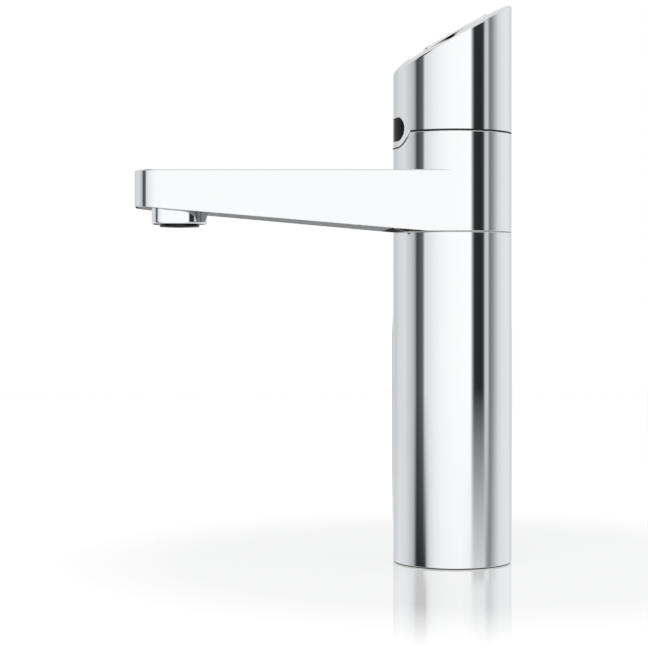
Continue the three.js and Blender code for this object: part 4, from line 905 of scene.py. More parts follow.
def dress(piece: bpy.types.Object, slot: Slot, finish: Finish | None = None) -> None:
    """Gives a piece the material of its slot's finish, or of the finish given.

    Args:
        piece: The piece.
        slot: Its material slot.
        finish: Its finish, if it is not the slot's own.
    """
    piece.data.materials.clear()
    piece.data.materials.append((finish or FINISHES[slot]).material())
    LOG.info("%s: %s, %d faces", piece.name, slot.value, len(piece.data.polygons))


# ---- Foot and column ----


@dataclass(frozen=True)
class Line:
    """A hose or cable that comes up through the foot.

    Attributes:
        name: What it carries.
        x: Place of its middle.
        y: Place of its middle.
        radius: Its outer radius.
        socket: Radius of the socket for its supply tube, or 0 for a gland with a plain bore.
    """

    name: str
    x: float
    y: float
    radius: float
    socket: float = 0.0


LINES = (
    Line("boiling", -6.0, 8.0, 4.0, 3.1),
    Line("chilled", -6.0, -8.0, 4.0, 3.1),
    Line("vent", 8.0, 0.0, 2.5, 2.0),
)
GLAND = Line("cable", 5.5, -9.5, 2.2)


@dataclass
class FootAndColumn:
    """Polished column tube, the rubber seal under it and the foot's fittings.

    Attributes:
        bore: Inner radius of the tube.
        top_round: Rounding of its upper edge.
        bottom_round: Rounding of its lower edge.
        seal_bore: Inner radius of the seal.
        seal_radius: Outer radius of the seal.
        foot_top: Height of the foot's insert.
        boss_radius: Radius of the boss that the seal goes round.
        hole_gap: From a line's radius out to its hole in the insert.
        stud_x: Distance of the stud holes from the middle.
        grips: Number of grooves round a fitting's cap.
    """

    bore: float = 27.5
    top_round: float = 0.3
    bottom_round: float = 0.3
    seal_bore: float = 21.6
    seal_radius: float = 29.4
    foot_top: float = 14.0
    boss_radius: float = 21.5
    hole_gap: float = 1.1
    stud_x: float = 17.0
    grips: int = 6

    def build(self) -> None:
        """Builds and dresses the pieces."""
        self.column_tube().finished(Body.COLUMN, Slot.CHROME, "column_shell")
        self.seal().finished(Body.COLUMN, Slot.RUBBER, "foot_seal")
        self.insert().finished(Body.COLUMN, Slot.BRASS, "foot_insert")
        for line in LINES:
            fitting = self.fitting(f"{line.name}_inlet_fitting", line)
            fitting.finished(Body.COLUMN, Slot.ACETAL, f"{line.name}_inlet")
        gland = self.fitting("cable_gland_fitting", GLAND)
        gland.finished(Body.COLUMN, Slot.PLASTIC, "cable_gland")

    def column_tube(self) -> Solid:
        """The tube, with both outer edges rounded."""
        outer = LEVELS.body_radius
        low, high = LEVELS.seal_top, LEVELS.column_top
        foot = lower_edge(outer, low, self.bottom_round, 3)
        rim = upper_edge(outer, high, self.top_round)
        profile = [(self.bore, low), *foot, *rim, (self.bore + 0.3, high), (self.bore, high - 0.3)]
        skins = [Skin(outer), Skin(self.bore, inward=True)]
        return Solid.turned("column_tube", profile, ROUND_STEPS).smoothed(skins)

    def seal(self) -> Solid:
        """The seal ring, with softened edges."""
        soft, top = 0.15, LEVELS.seal_top
        inner, outer = self.seal_bore, self.seal_radius
        low = [(inner, 0.0), (outer - soft, 0.0), (outer, soft)]
        high = [(outer, top - soft), (outer - soft, top), (inner, top)]
        return Solid.turned("seal_ring", [*low, *high], ROUND_STEPS // 2).smoothed()

    def insert(self) -> Solid:
        """The foot's insert, with its line holes and two threaded stud holes."""
        edge, outer, step = 0.4, 27.4, LEVELS.seal_top + 0.05
        boss, top = self.boss_radius, self.foot_top
        low = [(0.0, 0.0), (boss - edge, 0.0), (boss, edge), (boss, step), (outer, step)]
        high = [(outer, top - edge), (outer - edge, top), (0.0, top)]
        insert = Solid.turned("foot_plate", [*low, *high], 128)
        for line in (*LINES, GLAND):
            hole = Solid.turned("hole", self.line_hole(line.radius + self.hole_gap), 48)
            insert.combine(hole.shifted(line.x, line.y, 0), Cut.REMOVE)
        for side in (-1, 1):
            thread = Solid.turned("thread", self.threaded_hole(), 48)
            insert.combine(thread.shifted(side * self.stud_x, 0, 0), Cut.REMOVE)
        return insert.smoothed()

    def line_hole(self, radius: float) -> Profile:
        """Profile of a hole through the insert whose lower edge is broken."""
        flare, past = 0.3, 1.0
        top = self.foot_top + past
        mouth = [(0.0, -past), (radius + flare + past, -past), (radius, flare)]
        return [*mouth, (radius, top), (0.0, top)]

    def threaded_hole(self) -> Profile:
        """Profile of a blind hole with the grooves of its thread."""
        pitch, root, depth = 1.25, 3.4, 11.0
        profile = [(0.0, -1.0), (root + 1.6, -1.0), (root, 0.6)]
        for i in range(7):
            start = 0.8 + i * pitch
            profile += [(root, start), (root + 0.55, start + pitch / 2)]
        return [*profile, (root, depth - 0.6), (root, depth), (0.0, depth)]

    def fitting(self, name: str, line: Line) -> Solid:
        """A push-in fitting with its socket below and its cap above, or a plain gland.

        Args:
            name: Name of the piece.
            line: The line that leaves it at the top.

        Returns:
            The fitting, in its place.
        """
        body, cap, bottom = line.radius + 1.0, line.radius + 2.2, 0.4
        cap_bottom = self.foot_top + 0.05
        cap_top = cap_bottom + 8.0
        bore, socket = line.radius + 0.15, line.socket
        profile = [(socket + 0.35 if socket else bore, bottom)]
        profile += [(body - 0.3, bottom), (body, bottom + 0.3), (body, cap_bottom)]
        profile += [(cap, cap_bottom)]
        for i in range(self.grips):
            low = cap_bottom + 1.0 + i
            profile += [(cap, low), (cap - 0.25, low + 0.35), (cap, low + 0.7)]
        profile += [(cap, cap_top - 0.8), (cap - 0.8, cap_top), (bore, cap_top)]
        if socket:
            web, top = bottom + 9.0, bottom + 11.0
            profile += [(bore, top), (1.4, top), (1.4, web), (socket, web), (socket, bottom + 0.8)]
        return Solid.turned(name, profile, 48).smoothed().shifted(line.x, line.y, 0)


@dataclass
class SwivelSeam:
    """The upper bush, whose thin flange shows between column and spout, and the O-ring.

    Attributes:
        bore: Inner radius of the bush.
        bush_radius: Outer radius of its sleeve.
        bush_bottom: Height of its lower end.
        flange_radius: Outer radius of its flange.
        ring_centre: Radius and height of the middle of the O-ring's section.
        ring_section: Radius of that section.
    """

    bore: float = 22.16
    bush_radius: float = 25.3
    bush_bottom: float = 151.6
    flange_radius: float = 28.9
    ring_centre: Vector2 = (23.65, 149.85)
    ring_section: float = 1.46

    def build(self) -> None:
        """Builds and dresses both rings."""
        low, flange, top = self.bush_bottom, LEVELS.column_top + 0.025, LEVELS.column_top + 0.4
        sleeve = [(self.bore, low), (self.bush_radius - 0.3, low), (self.bush_radius, low + 0.3)]
        rim = [(self.bush_radius, flange), (self.flange_radius, flange), (self.flange_radius, top)]
        profile = [*sleeve, *rim, (self.bore, top)]
        bush = Solid.turned("thrust_bush", profile, ROUND_STEPS).smoothed()
        bush.finished(Body.COLUMN, Slot.ACETAL, "upper_bush")
        section = arc(self.ring_centre, self.ring_section, -180, 180, 24)[:-1]
        ring = Solid.turned("swivel_seal_ring", section, 128).smoothed(sharp=60)
        ring.finished(Body.COLUMN, Slot.RUBBER, "swivel_o_ring")


# ---- Spout ----


@dataclass
class Spout:
    """One-piece spout with its round collar, hollow for the hoses.

    Attributes:
        edge_round: Rounding of the upper edge.
        lower_round: Rounding of the lower edge.
        collar_bore: Inner radius of the collar.
        floor_bore: Radius of the hole in the collar's floor.
        floor_top: Height of the collar's floor.
        rebate_depth: Depth of the rebate for the underside plate.
        plate_start: Distance from the axis to the plate's root edge.
        pilot: Radius of the screws' pilot holes.
        ring_screws: Distance of the joining ring's screws from the axis.
        spigot_screws: Distance of the spigot's screws from it.
    """

    edge_round: float = 0.8
    lower_round: float = 0.25
    collar_bore: float = 27.0
    floor_bore: float = 22.1
    floor_top: float = 169.05
    rebate_depth: float = 1.7
    plate_start: float = 33.0
    pilot: float = 1.35
    ring_screws: float = 22.6
    spigot_screws: float = 24.4

    def build(self, plate: "UndersidePlate") -> None:
        """Builds and dresses the spout.

        Args:
            plate: The plate, whose screws the bosses are for.
        """
        spout = self.arm().combine(self.collar(), Cut.JOIN)
        for cutter in (self.bore(), self.channel(), self.well()):
            spout.combine(cutter, Cut.REMOVE)
        self.add_bosses(spout, plate)
        self.add_lugs(spout)
        spout.combine(window_block(3.85), Cut.REMOVE)
        spout.smoothed(self.skins()).finished(Body.SPOUT, Slot.CHROME, "spout_body")

    def skins(self) -> list[Skin]:
        """The exact surfaces of its outside and of the collar's bore."""
        taper, slope = math.radians(LEVELS.spout_taper), math.radians(LEVELS.underside_slope)
        side = (-math.sin(taper), math.cos(taper), 0.0)
        corner = LEVELS.tip_corner
        corner_x = corner - LEVELS.spout_reach
        corner_y = LEVELS.spout_half_width(-corner_x) - corner / math.cos(taper)
        return [
            Skin(LEVELS.body_radius),
            Skin(self.collar_bore, inward=True),
            FlatSkin(facing=side),
            FlatSkin(facing=(side[0], -side[1], 0.0)),
            FlatSkin(facing=(0.0, 0.0, 1.0)),
            FlatSkin(facing=(-1.0, 0.0, 0.0)),
            FlatSkin(facing=(-math.sin(slope), 0.0, -math.cos(slope))),
            Skin(corner, corner_x, corner_y),
            Skin(corner, corner_x, -corner_y),
        ]

    def add_bosses(self, spout: Solid, plate: "UndersidePlate") -> None:
        """Adds the bosses that the plate is screwed to, each with its pilot hole."""
        ceiling = LEVELS.spout_top - LEVELS.spout_wall
        for distance, y in plate.screw_places():
            low = LEVELS.underside_z(distance + 3.0) + self.rebate_depth
            boss = Solid.pin("boss", 3.0, low, ceiling + 1.2, 48).shifted(-distance, y, 0)
            pilot = Solid.pin("pilot", self.pilot, low - 1.0, ceiling - 0.8)
            spout.combine(boss, Cut.JOIN).combine(pilot.shifted(-distance, y, 0), Cut.REMOVE)

    def add_lugs(self, spout: Solid) -> None:
        """Adds the lugs of the joining ring and the pilot holes of ring and spigot."""
        low, high = LEVELS.collar_top - 16.6, LEVELS.collar_top - 10.6
        for angle in (0, 120, 240):
            turn = Matrix.Rotation(math.radians(angle), 4, "Z")
            lug = Solid.block("lug", (20.3, -4.0, low), (28.5, 4.0, high)).moved(turn)
            pilot = Solid.pin("pilot", self.pilot, low - 1, high + 1)
            pilot.shifted(self.ring_screws, 0, 0).moved(turn)
            spout.combine(lug, Cut.JOIN).combine(pilot, Cut.REMOVE)
        for angle in (0, 110, 250):
            turn = Matrix.Rotation(math.radians(angle), 4, "Z")
            pilot = Solid.pin("pilot", self.pilot, LEVELS.collar_bottom + 0.8, self.floor_top + 1)
            spout.combine(pilot.shifted(self.spigot_screws, 0, 0).moved(turn), Cut.REMOVE)

    def arm(self) -> Solid:
        """The spout's outside: level with the collar at the root, then sloping up."""
        low = [(i, LEVELS.collar_bottom + d) for i, d in reversed(rounding(self.lower_round, 3))]
        high = [(i, LEVELS.spout_top - d) for i, d in rounding(self.edge_round)]
        rings = [at_height(spout_outline(inset), z) for inset, z in (*low, *high)]
        rise = math.tan(math.radians(LEVELS.underside_slope))
        arm = Solid.lofted("spout_arm", rings)
        return arm.sloped(-LEVELS.underside_start, LEVELS.spout_top - 10, rise)

    def collar(self) -> Solid:
        """The round collar, solid for now."""
        outer, low, high = LEVELS.body_radius, LEVELS.collar_bottom, LEVELS.collar_top
        foot, rim = lower_edge(outer, low, self.lower_round, 3), upper_edge(outer, high, 0.4, 4)
        collar = Solid.turned("collar", [(0.0, low), *foot, *rim, (0.0, high)], ROUND_STEPS)
        return collar.combine(self.relief(), Cut.REMOVE)

    def relief(self) -> Solid:
        """Cutter of the shadow gap between the column and the sloping underside."""
        near, far, side, clear = 12.0, 31.0, 31.0, 0.02
        plan = [(-far, -side), (-near, -side), (-near, side), (-far, side)]
        low = at_height(plan, LEVELS.collar_bottom - 6)
        return Solid.lofted("relief", [low, over_underside(plan, clear)])

    def bore(self) -> Solid:
        """Cutter of the collar's bore and of the hole in its floor."""
        low, floor, high = LEVELS.collar_bottom - 1, self.floor_top, LEVELS.collar_top + 1
        hole = [(0.0, low), (self.floor_bore, low), (self.floor_bore, floor)]
        bore = [(self.collar_bore, floor), (self.collar_bore, high), (0.0, high)]
        return Solid.turned("bore", [*hole, *bore], ROUND_STEPS)

    def channel(self) -> Solid:
        """Cutter of the passage from the collar into the spout."""
        clear = 0.05
        outline = spout_outline(LEVELS.spout_wall + clear, 20.0, 12)
        ceiling = LEVELS.spout_top - LEVELS.spout_wall - clear
        return Solid.upright("channel", outline, self.floor_top + 1.0, ceiling)

    def well(self) -> Solid:
        """Cutter of the well over the underside plate, with the plate's rebate."""
        ceiling = LEVELS.spout_top - LEVELS.spout_wall
        deep = spout_outline(LEVELS.spout_wall, self.plate_start + 1.2, 16)
        wide = spout_outline(1.2, self.plate_start, 16)
        rebate = [over_underside(wide, -2.0), over_underside(wide, self.rebate_depth)]
        well = [over_underside(deep, self.rebate_depth), at_height(deep, ceiling)]
        return Solid.lofted("well", [*rebate, *well])


@dataclass
class UndersidePlate:
    """Satin plate that closes the spout from below, with its four screws.

    Attributes:
        inset: From the spout's outside in to the plate's edge.
        start: Distance from the axis to its root edge.
        recess: How far it lies above the spout's lower edge.
        thickness: Thickness of the plate.
        screw_distances: Distances of the screws from the axis.
    """

    inset: float = 1.3
    start: float = 33.1
    recess: float = 0.03
    thickness: float = 1.5
    screw_distances: Vector2 = (50.0, 118.0)

    def build(self, nozzle: "Nozzle") -> None:
        """Builds and dresses the plate and its screws.

        Args:
            nozzle: The nozzle, whose outline the opening follows.
        """
        plate = self.plate()
        cutter = Solid.upright("opening", nozzle.outline(0.3), 150.0, 200.0)
        plate.combine(cutter.shifted(-LEVELS.nozzle_distance, 0, 0), Cut.REMOVE)
        for number, (distance, y) in enumerate(self.screw_places(), 1):
            face = LEVELS.underside_z(distance) + self.recess
            plate.combine(self.countersink().shifted(-distance, y, face), Cut.REMOVE)
            screw = self.screw(f"underside_screw_{number}").shifted(-distance, y, face + 0.05)
            screw.finished(Body.SPOUT, Slot.STEEL, f"plate_screw_{number}")
        plate.smoothed().finished(Body.SPOUT, Slot.SATIN, "underside_plate")

    def screw_places(self) -> list[Vector2]:
        """Distance in front of the axis and y of each screw."""
        places = []
        for distance in self.screw_distances:
            y = LEVELS.spout_half_width(distance, LEVELS.spout_wall) - 3.8
            places += [(distance, -y), (distance, y)]
        return places

    def plate(self) -> Solid:
        """The plate without its holes, its lower edge broken."""
        soft = 0.2
        rings = []
        for inset, lift in ((soft, 0.0), (0.0, soft), (0.0, self.thickness)):
            outline = spout_outline(self.inset + inset, self.start + inset)
            rings.append(over_underside(outline, self.recess + lift))
        return Solid.lofted("spout_underside", rings)

    def countersink(self) -> Solid:
        """Cutter of a screw's hole, from the plate's face at z = 0 up."""
        profile = [(0, -1), (2.3, -1), (2.3, 0.05), (1.35, 1.0), (1.35, 3.0), (0, 3.0)]
        return Solid.turned("countersink", profile, 40)

    def screw(self, name: str) -> Solid:
        """A countersunk screw with a cross recess, its head at z = 0 facing down."""
        head = [(0.0, 0.0), (2.05, 0.0), (2.15, 0.1), (1.2, 1.0)]
        profile = [*head, *self.thread(1.2, 5.8), (0.72, 6.5), (0.0, 6.5)]
        screw = Solid.turned(name, profile, 40)
        for size in ((2.3, 0.5), (0.5, 2.3)):
            bar = rounded_rectangle(*size, 0.2, 3)
            narrow = [(x * 0.5, y * 0.5) for x, y in bar]
            recess = Solid.lofted("recess", [at_height(bar, -0.5), at_height(narrow, 1.1)])
            screw.combine(recess, Cut.REMOVE)
        return screw.smoothed()

    def thread(self, start: float, end: float) -> Profile:
        """Grooves of the screw's thread along its shank."""
        points, pitch, height = [], 0.7, start
        while height + pitch < end:
            points += [(1.2, height), (0.95, height + pitch / 2)]
            height += pitch
        return [*points, (1.2, end)]


@dataclass
class Nozzle:
    """Square outlet housing with the aerator and its flow straightener.

    Attributes:
        length: Size of the housing along the spout.
        width: Size across it.
        corner: Radius of its upright corners towards the tip.
        back_corner: Radius of the two towards the column.
        bottom: Height of its lower face.
        top: Height of its upper face.
        edge_round: Rounding of its lower edge.
        bore: Radius of its bore round the aerator.
        aerator_bottom: Height of the aerator's mouth.
        aerator_top: Height of its upper end.
        straightener_bottom: Height of the flow straightener's lower face.
        straightener_top: Height of its upper face.
        hole_pitch: Distance between its rings of holes.
        flange_bottom: Height of the inner flange's lower face.
    """

    length: float = 27.5
    width: float = 25.0
    corner: float = 6.5
    back_corner: float = 12.3
    bottom: float = 169.5
    top: float = 183.05
    edge_round: float = 0.8
    bore: float = 10.1
    aerator_bottom: float = 168.089
    aerator_top: float = 175.389
    straightener_bottom: float = 169.689
    straightener_top: float = 172.289
    hole_pitch: float = 2.9
    flange_bottom: float = LEVELS.underside_z(LEVELS.nozzle_distance + 15.35) + 1.75

    def build(self) -> None:
        """Builds and dresses the pieces."""
        x = -LEVELS.nozzle_distance
        housing = self.housing().shifted(x, 0, 0)
        skins = [Skin(self.bore, x, 0.0, True), FlatSkin(facing=(0.0, 0.0, -1.0))]
        for a, corner in ((-1, self.corner), (1, self.back_corner)):
            skins.append(FlatSkin(facing=(float(a), 0.0, 0.0)))
            skins.append(FlatSkin(facing=(0.0, float(a), 0.0)))
            for b in (-1, 1):
                corner_x, corner_y = self.length / 2 - corner, self.width / 2 - corner
                skins.append(Skin(corner, x + a * corner_x, b * corner_y))
        housing.smoothed(skins)
        housing.finished(Body.SPOUT, Slot.CHROME, "nozzle_housing")
        aerator = self.aerator().shifted(x, 0, 0).smoothed()
        aerator.finished(Body.SPOUT, Slot.PLASTIC, "aerator_insert", finish=GLOSSY_PLASTIC)
        straightener = self.straightener().shifted(x, 0, 0).smoothed()
        straightener.finished(Body.SPOUT, Slot.ACETAL, "flow_straightener")

    def outline(self, growth: float) -> Outline:
        """The housing's plan, or one grown from it."""
        length, width = self.length + 2 * growth, self.width + 2 * growth
        back = self.back_corner + growth
        return rounded_rectangle(length, width, self.corner + growth, 24, back)

    def housing(self) -> Solid:
        """The housing with its inner flange and stepped bore."""
        steps = [(-i, self.bottom + d) for i, d in reversed(rounding(self.edge_round))]
        rings = [at_height(self.outline(growth), z) for growth, z in (*steps, (0.0, self.top))]
        housing = Solid.lofted("outlet_housing", rings)
        flange = Solid.upright("flange", self.outline(1.6), self.flange_bottom, self.top)
        housing.combine(flange, Cut.JOIN)
        low, step, high, narrow = self.bottom, 176.9, self.top + 1, self.bore - 1.0
        mouth = [(0.0, low - 1), (self.bore + 1.4, low - 1), (self.bore, low + 0.4)]
        profile = [*mouth, (self.bore, step), (narrow, step), (narrow, high), (0.0, high)]
        return housing.combine(Solid.turned("bore", profile, 128), Cut.REMOVE)

    def aerator(self) -> Solid:
        """The aerator's ring, with a rounded mouth."""
        low, high, bore, outer = self.aerator_bottom, self.aerator_top, 8.2, 10.0
        lip = [(bore - 0.8, low + 0.35), (bore - 0.45, low)]
        wall = [*lower_edge(outer, low, 0.5, 4), (outer, high), (bore, high)]
        seat = [(bore, low + 1.55), (bore - 0.8, low + 1.55)]
        return Solid.turned("aerator_ring", [*lip, *wall, *seat], 128)

    def straightener(self) -> Solid:
        """The disc with its rings of holes."""
        low, high = self.straightener_bottom, self.straightener_top
        profile = [(0.0, low), (7.9, low), (8.1, low + 0.2), (8.1, high), (0.0, high)]
        disc = Solid.turned("stream_straightener", profile, 96)
        holes = Solid.pin("holes", 1.0, low - 1, high + 1, 24)
        for ring in (1, 2):
            radius = self.hole_pitch * ring
            for i in range(6 * ring):
                turn = math.pi / 3 * i / ring
                hole = Solid.pin("hole", 1.0, low - 1, high + 1, 24)
                holes.gather(hole.shifted(radius * math.cos(turn), radius * math.sin(turn), 0))
        return disc.combine(holes, Cut.REMOVE)


# ---- Head ----


@dataclass
class Head:
    """Polished head with its sloping face, window rim and lobe.

    Attributes:
        bore: Inner radius.
        rim_round: Rounding of the edge round the sloping face.
        top_thickness: Thickness of the wall under it.
        lobe_growth: Width of the rim round the window.
        post_x: Distance of the key carrier's posts from the middle of the face.
        grub_z: Height of the grub screw.
    """

    bore: float = 27.0
    rim_round: float = 2.4
    top_thickness: float = 3.0
    lobe_growth: float = 3.0
    post_x: float = 14.0
    grub_z: float = 220.0

    def build(self, keys: "Keys") -> None:
        """Builds and dresses the head and its grub screw.

        Args:
            keys: The keys, whose outlines the openings follow.
        """
        head = self.outside()
        head.combine(self.below_the_lobe(), Cut.REMOVE)
        head.combine(self.inside(), Cut.REMOVE)
        head.combine(self.window_cutter(), Cut.REMOVE)
        frame = LEVELS.slant_frame()
        for y in (keys.pad_y, -keys.pad_y):
            opening = keys.opening().shifted(0, y, 0).moved(frame)
            head.combine(opening, Cut.REMOVE)
        profile = [(0, -5), (3.9, -5), (3.9, -0.3), (4.25, 0.05), (4.25, 3.0), (0, 3.0)]
        hole = Solid.turned("lock_opening", profile, 96).shifted(keys.lock_x, 0, 0)
        head.combine(hole.moved(frame), Cut.REMOVE)
        for x in (-self.post_x, self.post_x):
            post = Solid.pin("post", 2.2, -9.95, -2.5, 48).shifted(x, 0, 0).moved(frame)
            pilot = Solid.pin("pilot", 1.35, -11.0, -2.5).shifted(x, 0, 0).moved(frame)
            head.combine(post, Cut.JOIN).combine(pilot, Cut.REMOVE)
        turn = Matrix.Rotation(math.pi / 2, 4, "Y")
        grub_bore = Solid.pin("grub_bore", 1.75, 25, 32, 48)
        head.combine(grub_bore.moved(turn).shifted(0, 0, self.grub_z), Cut.REMOVE)
        slope = LEVELS.slant_angle
        skins = [
            Skin(LEVELS.body_radius),
            Skin(self.bore, inward=True),
            FlatSkin(facing=(-math.sin(slope), 0.0, math.cos(slope))),
            FlatSkin(facing=(0.0, 0.0, -1.0)),
        ]
        head.smoothed(skins).finished(Body.SPOUT, Slot.CHROME, "head_shell")
        self.grub_screw().finished(Body.SPOUT, Slot.STEEL, "head_grub_screw")

    def outside(self) -> Solid:
        """The head's outside, carried on far below its lower edge."""
        rings = [self.ring(LEVELS.body_radius, lambda x: 190.0)]
        for inset, drop in rounding(self.rim_round, 10):
            radius = LEVELS.body_radius - inset
            rings.append(self.ring(radius, lambda x, depth=drop: LEVELS.slant_z(x, depth)))
        return Solid.lofted("sloping_head", rings)

    def ring(self, radius: float, height: Callable[[float], float]) -> Ring:
        """Points round the axis, each at the height that a function gives for its x."""
        points = []
        for i in range(ROUND_STEPS):
            turn = 2 * math.pi * (i + 0.5) / ROUND_STEPS
            x = radius * math.cos(turn)
            points.append((x, radius * math.sin(turn), height(x)))
        return points

    def below_the_lobe(self) -> Solid:
        """Cutter of what lies below the head's lower edge, but for the lobe."""
        cutter = Solid.block("below", (-60, -60, 180), (60, 60, LEVELS.head_bottom))
        return cutter.combine(window_block(self.lobe_growth), Cut.REMOVE)

    def inside(self) -> Solid:
        """Cutter of the head's hollow."""
        top = self.ring(self.bore, lambda x: LEVELS.slant_z(x, self.top_thickness))
        return Solid.lofted("hollow", [self.ring(self.bore, lambda x: 180.0), top])

    def window_cutter(self) -> Solid:
        """Cutter of the window, its outer edge softly rounded into the wall."""
        rings: list[Ring] = [[(-15.0, y, z) for y, z in window_outline(0.0)]]
        soft = 0.5
        for inset, drop in rounding(soft, 4):
            rings.append(self.on_the_wall(window_outline(inset), drop))
        rings.append(self.on_the_wall(window_outline(soft + 3.0), -3.0))
        return Solid.lofted("window_cut", [list(reversed(ring)) for ring in rings])

    def on_the_wall(self, outline: Outline, depth: float) -> Ring:
        """An outline in y and z laid on the round wall, the given depth below its outside."""
        radius = LEVELS.body_radius - depth
        return [(-math.sqrt(radius**2 - y**2), y, z) for y, z in outline]

    def grub_screw(self) -> Solid:
        """The grub screw at the back, with its hexagon socket."""
        end = 29.2
        tip = [(0, end - 4.6), (1.3, end - 4.6), (1.6, end - 4.3)]
        screw = Solid.turned("grub_screw", [*tip, (1.6, end - 0.2), (1.45, end), (0, end)], 48)
        screw.combine(Solid.pin("hexagon", 0.9, end - 1.5, end + 1, 6), Cut.REMOVE)
        turn = Matrix.Rotation(math.pi / 2, 4, "Y")
        return screw.moved(turn).shifted(0, 0, self.grub_z).smoothed()


@dataclass
class PaintedShadeLip:
    """Black lip in the gap between head and spout, painted shade: a black sheet that stands for the
    gap's shadow.

    Attributes:
        inner: Radius of its inner edge.
        outer: Radius of its outer edge.
        low: Height of its lower face.
        high: Height of its upper face.
    """

    inner: float = 26.9
    outer: float = 29.4
    low: float = 214.7
    high: float = 215.43

    def build(self) -> None:
        """Builds and dresses the black sheet of painted shade, which runs round the window's lobe
        as well.
        """
        # Painted shade: a black ring that fills the shadow gap under the head.
        lip = Solid.tube("seam_lip", self.inner, self.outer, self.low, self.high)
        lip.combine(window_block(3.4), Cut.REMOVE)
        lobe = Solid.tube("lobe_lip", self.inner + 0.05, self.outer - 0.02, 204.0, self.high - 0.03)
        lobe.combine(window_block(3.78), Cut.KEEP).combine(window_block(3.07), Cut.REMOVE)
        lip.combine(lobe, Cut.JOIN)
        lip.smoothed([Skin(self.outer)]).finished(Body.SPOUT, Slot.PLASTIC)


@dataclass
class IndicatorWindow:
    """Dark lens that fills the window, with the two pegs behind it.

    Attributes:
        radius: Radius of its face.
        thickness: Its thickness.
        gap: Gap to the window's edge.
        peg_y: Distance of its pegs from the middle.
    """

    radius: float = 29.7
    thickness: float = 2.2
    gap: float = 0.1
    peg_y: float = 8.4

    def build(self) -> None:
        """Builds and dresses the lens."""
        inner = self.radius - self.thickness
        lens = Solid.tube("indicator_lens", inner, self.radius, 205.0, 229.0)
        lens.combine(window_block(-self.gap), Cut.KEEP)
        turn = Matrix.Rotation(-math.pi / 2, 4, "Y")
        for side in (-1, 1):
            tip = [(0, 21.2), (1.0, 21.2), (1.2, 21.4)]
            peg = Solid.turned("peg", [*tip, (1.2, 27.3), (0, 27.3)], 32).moved(turn)
            lens.combine(peg.shifted(0, side * self.peg_y, LEVELS.window_z), Cut.JOIN)
        skins = [Skin(self.radius), Skin(inner, inward=True)]
        lens.smoothed(skins).finished(Body.SPOUT, Slot.LENS, "window_lens")


# ---- Keys ----


